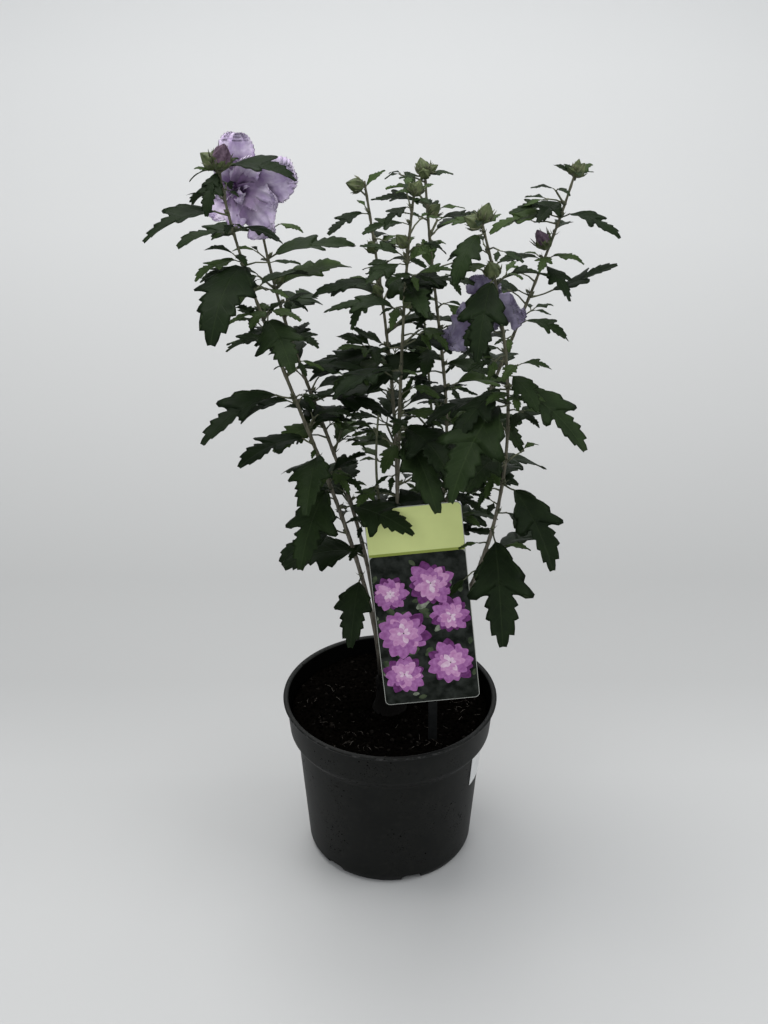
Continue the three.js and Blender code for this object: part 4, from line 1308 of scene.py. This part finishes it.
def make_plant(paints):
    canes = Pile()
    add_stump(canes)
    for order, (name, cane) in enumerate(CANES.items()):
        stem = cane_stem(cane)
        solid = Solid(f"{name}_foliage")
        dice = random.Random(1000 + order)
        leaves, twigs, buds, petals = Pile(), Pile(), Pile(), Pile()
        joints = grow_mass(cane, stem, solid, SPRAY["seed"] + order, leaves, twigs, dice)
        add_cane(canes, cane, stem, joints, 10 * order)
        for bud in cane["buds"]:
            at, turn, rise, length, radius = bud
            add_bud(buds, twigs, stem.at(at), heading(turn, rise), length, radius, dice, length > 17)
        for bloom in cane["blooms"]:
            add_bloom(name, petals, buds, twigs, stem, bloom, dice)
        if not cane["blooms"] or cane["blooms"][0][0] < 0.9:
            add_tuft(TUFT[name], leaves, buds, twigs, stem, dice)
        leaves.piece(f"{name}_leaves", "foliage", paints["leaves"], [f"{name}_foliage"])
        twigs.piece(f"{name}_twigs", "foliage", [paints["twig"]])
        if buds.count:
            buds.piece(f"{name}_buds", "foliage", [paints["bud"], paints["closed_petal"]])
        if petals.count:
            petals.piece(f"{name}_bloom", "foliage", [paints[f"{name}_petal"], paints["calyx"]])
    canes.piece("canes", "bark", [paints["bark"]], ["root_crown"] + [f"{name}_cane" for name in CANES])


def grow_mass(cane, stem, solid, fine, leaves, twigs, dice):
    """The leaves of one cane that its CAD solid holds; returns the shares of its joints."""
    joints = []

    def cane_radius(share):
        return lerp(cane["girth"], CANE["tip_radius"], share)

    def put(blade, radius, leafing=True):
        add_leaf(leaves, blade, dice)
        add_stalk(twigs, blade, 1.0 if leafing else 0.6)
        if leafing:
            turn = math.degrees(math.atan2(blade.ahead[1], blade.ahead[0]))
            add_axil(twigs, blade.root, turn, radius, dice)

    for (at, *_), blade in zip(cane["leads"], lead_blades(cane, stem)):
        put(blade, cane_radius(at))
        joints.append(at)
    first = LEAFING["first"] + LEAFING["bare"]
    joints += grow_rule(stem, cane["seed"], cane["start"], first, LEAFING["longest"], solid,
                        cane_radius, put, twigs)
    for at, root, tip, blades in sprays(stem, fine):
        if blades:
            middle = lerp(root, tip, 0.5) + UP * 0.08 * np.linalg.norm(tip - root)
            slim = SPRAY["radius"]
            twigs.add(*tube([root, middle, tip], [1.5 * slim, 1.1 * slim, slim], 6))
            for blade in blades:
                put(blade, slim, False)
            joints.append(at)
    for at, bend, tip, seed, start in cane["shoots"]:
        shoot = Stem(stem.at(at), bend, tip)
        path = shoot.path(0, 1, 40)
        radii = np.linspace(SHOOT["foot_radius"], SHOOT["tip_radius"], 40)
        twigs.add(*tube(path, radii, 8))
        grow_rule(shoot, seed, start, SHOOT["first"], SHOOT["leaf_share"] * LEAFING["longest"], solid,
                  lambda share: 1.1, put, twigs)
        joints.append(at)
    return joints


def grow_rule(stem, seed, start, first, longest, solid, radius_at, put, twigs):
    leaves, spurs = rule_blades(stem, seed, start, first, longest)
    span = LEAFING["last"] - first
    joints = []
    for i, blade in enumerate(leaves):
        at = first + (i + 0.5) / len(leaves) * span
        joints.append(at)
        if solid.holds(blade):
            put(blade, radius_at(at))
    for root, tip, pair in spurs:
        held = [blade for blade in pair if solid.holds(blade)]
        if held:
            path = [lerp(root, tip, s) for s in (0, 0.25, 0.5, 0.75, 1)]
            twigs.add(*tube(path, [1.2, 0.95, 0.85, 0.9, 0.6], 6))
            for blade in held:
                put(blade, 0.8, False)
    return joints


# ---------------------------------------------------------------- stage


# How pale the floor and backdrop are, from front to back: metres back, and the grey. The greys are painted
# light and shade: darker behind the plant, palest up the backdrop.
FLOOR_TONES = [
    (-0.1, 0.46), (0.08, 0.44), (0.22, 0.37), (0.4, 0.35),
    (0.75, 0.43), (1.3, 0.54), (2.0, 0.62), (3.2, 0.7),
]


def floor_paint():
    """Grey painted a little darker behind the plant and palest up the backdrop: painted shade and painted
    light.
    """
    paint = Paint("pale_floor", 0.6, 0.2)
    split = paint.node("ShaderNodeSeparateXYZ")
    paint.link(paint.place, split.inputs["Vector"])
    near, far = FLOOR_TONES[0][0], FLOOR_TONES[-1][0]
    ramp = paint.node("ShaderNodeValToRGB")
    paint.link(paint.between(split.outputs["Y"], near, far), ramp.inputs["Fac"])
    stops = ramp.color_ramp.elements
    for place, grey in FLOOR_TONES[1:-1]:
        stops.new((place - near) / (far - near))
    for stop, (_, grey) in zip(stops, FLOOR_TONES):
        stop.color = (grey, 1.01 * grey, 1.01 * grey, 1)
    paint.colour(ramp.outputs["Color"])
    return paint.material


def make_stage():
    """A plain pale floor that curves up into a backdrop, soft lights and the camera."""
    near, far, wide, high, curve = -4.0, 3.6, 4.0, 3.2, 0.8
    profile = [(near, 0.0), (far - curve, 0.0)]
    for k in range(1, 13):
        angle = k * math.pi / 24
        profile.append((far - curve + curve * math.sin(angle), curve - curve * math.cos(angle)))
    profile.append((far, high))
    corners = [(x, y, z) for y, z in profile for x in (-wide, wide)]
    faces = [[2 * i, 2 * i + 1, 2 * i + 3, 2 * i + 2] for i in range(len(profile) - 1)]
    mesh = bpy.data.meshes.new("floor")
    mesh.from_pydata(corners, [], faces)
    mesh.polygons.foreach_set("use_smooth", [True] * len(faces))
    mesh.materials.append(floor_paint())
    floor = bpy.data.objects.new("floor", mesh)
    bpy.context.scene.collection.objects.link(floor)

    add_light("key", (-350, 150, 2000), (0, 0, 300), 1.1, 26, (1.0, 0.99, 0.97))
    add_light("side", (1300, -300, 1300), (0, 0, 250), 1.2, 12, (1.0, 1.0, 1.0))
    add_light("front", (-500, -1500, 1100), (0, 0, 200), 1.4, 9, (0.97, 0.985, 1.0))
    add_light("back", (0, 2000, 2000), (0, 2001, 0), 1.6, 28, (1.0, 1.0, 1.0))
    world = bpy.data.worlds.new("studio")
    world.use_nodes = True
    world.node_tree.nodes["Background"].inputs["Color"].default_value = (0.93, 0.96, 1.0, 1)
    world.node_tree.nodes["Background"].inputs["Strength"].default_value = 0.42
    bpy.context.scene.world = world
    bpy.context.scene.view_settings.view_transform = "Standard"

    camera = bpy.data.cameras.new("camera")
    camera.sensor_width = CAMERA["sensor"]
    camera.lens = CAMERA["focal_px"] / max(PHOTO.values()) * CAMERA["sensor"]
    holder = bpy.data.objects.new("camera", camera)
    holder.location = Vector(CAMERA["place"]) * MM
    holder.rotation_euler = (math.radians(90 - CAMERA["tilt"]), 0, 0)
    bpy.context.scene.collection.objects.link(holder)
    bpy.context.scene.camera = holder


def add_light(name, place, aim, size, power, colour):
    data = bpy.data.lights.new(name, "AREA")
    data.size, data.energy, data.color = size, power, colour
    light = bpy.data.objects.new(name, data)
    light.location = Vector(place) * MM
    light.rotation_euler = (Vector(aim) - Vector(place)).to_track_quat("-Z", "Y").to_euler()
    bpy.context.scene.collection.objects.link(light)


# The label's inks, in the order of its paints: name, grain, and the two colours between.
PRINTS = [
    ("field", 7, (0.004, 0.006, 0.004), (0.026, 0.03, 0.026)),
    ("header", 25, (0.62, 0.69, 0.28), (0.67, 0.74, 0.305)),
    ("line", 25, (0.25, 0.3, 0.06), (0.29, 0.34, 0.08)),
    ("plum", 3, (0.10, 0.022, 0.10), (0.17, 0.045, 0.18)),
    ("mauve", 3, (0.3, 0.1, 0.3), (0.42, 0.18, 0.42)),
    ("pink", 3, (0.5, 0.22, 0.45), (0.62, 0.35, 0.57)),
    ("pale", 3, (0.66, 0.44, 0.6), (0.78, 0.62, 0.74)),
    ("leaf", 4, (0.02, 0.032, 0.017), (0.07, 0.09, 0.05)),
    ("glint", 3, (0.12, 0.14, 0.1), (0.3, 0.33, 0.26)),
]


def main():
    make_stage()
    vein = (0.06, 0.085, 0.03)
    leaf_paints = [
        leaf_paint("leaf_dark", (0.0062, 0.0115, 0.0045), (0.0095, 0.0175, 0.0062), (0.02, 0.032, 0.012)),
        leaf_paint("leaf_mid", (0.010, 0.0185, 0.0062), (0.015, 0.027, 0.0088), (0.03, 0.048, 0.018)),
        # The palest leaves are partly young leaves and partly painted light, for leaves lit through from
        # behind.
        leaf_paint("leaf_fresh_and_backlit", (0.024, 0.042, 0.012), (0.038, 0.064, 0.018), vein),
        leaf_paint("leaf_underside", (0.016, 0.026, 0.012), (0.024, 0.037, 0.016), vein, 0.7),
    ]
    make_plant({
        "leaves": leaf_paints,
        "twig": plain_paint("green_twig", (0.045, 0.052, 0.028), (0.11, 0.115, 0.065), 0.6, 6, 0.15),
        "bud": plain_paint("green_calyx", (0.035, 0.05, 0.016), (0.085, 0.105, 0.04), 0.6, 4, 0.25),
        "closed_petal": plain_paint("closed_petal", (0.045, 0.022, 0.04), (0.13, 0.085, 0.12), 0.6, 3, 0.3),
        "left_inner_petal": petal_paint(
            "lilac_petal", (0.64, 0.57, 0.7), (0.4, 0.31, 0.5), (0.1, 0.03, 0.14)),
        # The right bloom's petals are painted darker and bluer than the left's: painted shade, for a bloom
        # that stands in shade.
        "right_inner_petal": petal_paint(
            "bluish_petal_painted_shade", (0.29, 0.26, 0.37), (0.12, 0.1, 0.17), (0.05, 0.02, 0.08)),
        "calyx": plain_paint("calyx_lobe", (0.05, 0.07, 0.022), (0.1, 0.12, 0.045), 0.6, 4, 0.25),
        "bark": bark_paint(),
    })
    make_pot(pot_paint())
    make_soil([
        plain_paint("peat", (0.0006, 0.0005, 0.0004), (0.0024, 0.002, 0.0016), 0.95, 2.5, 0.8, 0.0),
        plain_paint("peat_chip", (0.002, 0.0016, 0.0012), (0.0075, 0.006, 0.0045), 0.85, 2, 0.4, 0.05),
        plain_paint("peat_fibre", (0.02, 0.017, 0.013), (0.09, 0.08, 0.066), 0.75, 2, 0.2, 0.3),
    ])
    make_label(
        plain_paint("card", (0.34, 0.35, 0.32), (0.38, 0.39, 0.36), 0.35, 12, 0.02),
        plain_paint("stem_plastic", (0.004, 0.0045, 0.0045), (0.007, 0.0075, 0.0075), 0.5, 5, 0.05, 0.1),
        [plain_paint(f"print_{name}", *inks, 0.38, grain, 0.01, 0.08) for name, grain, *inks in PRINTS],
    )
    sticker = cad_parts["pot_sticker"]
    sticker.data.materials.clear()
    film = plain_paint("white_film", (0.6, 0.61, 0.61), (0.68, 0.69, 0.69), 0.5, 8, 0.05)
    sticker.data.materials.append(film)


main()
bpy.context.view_layer.update()
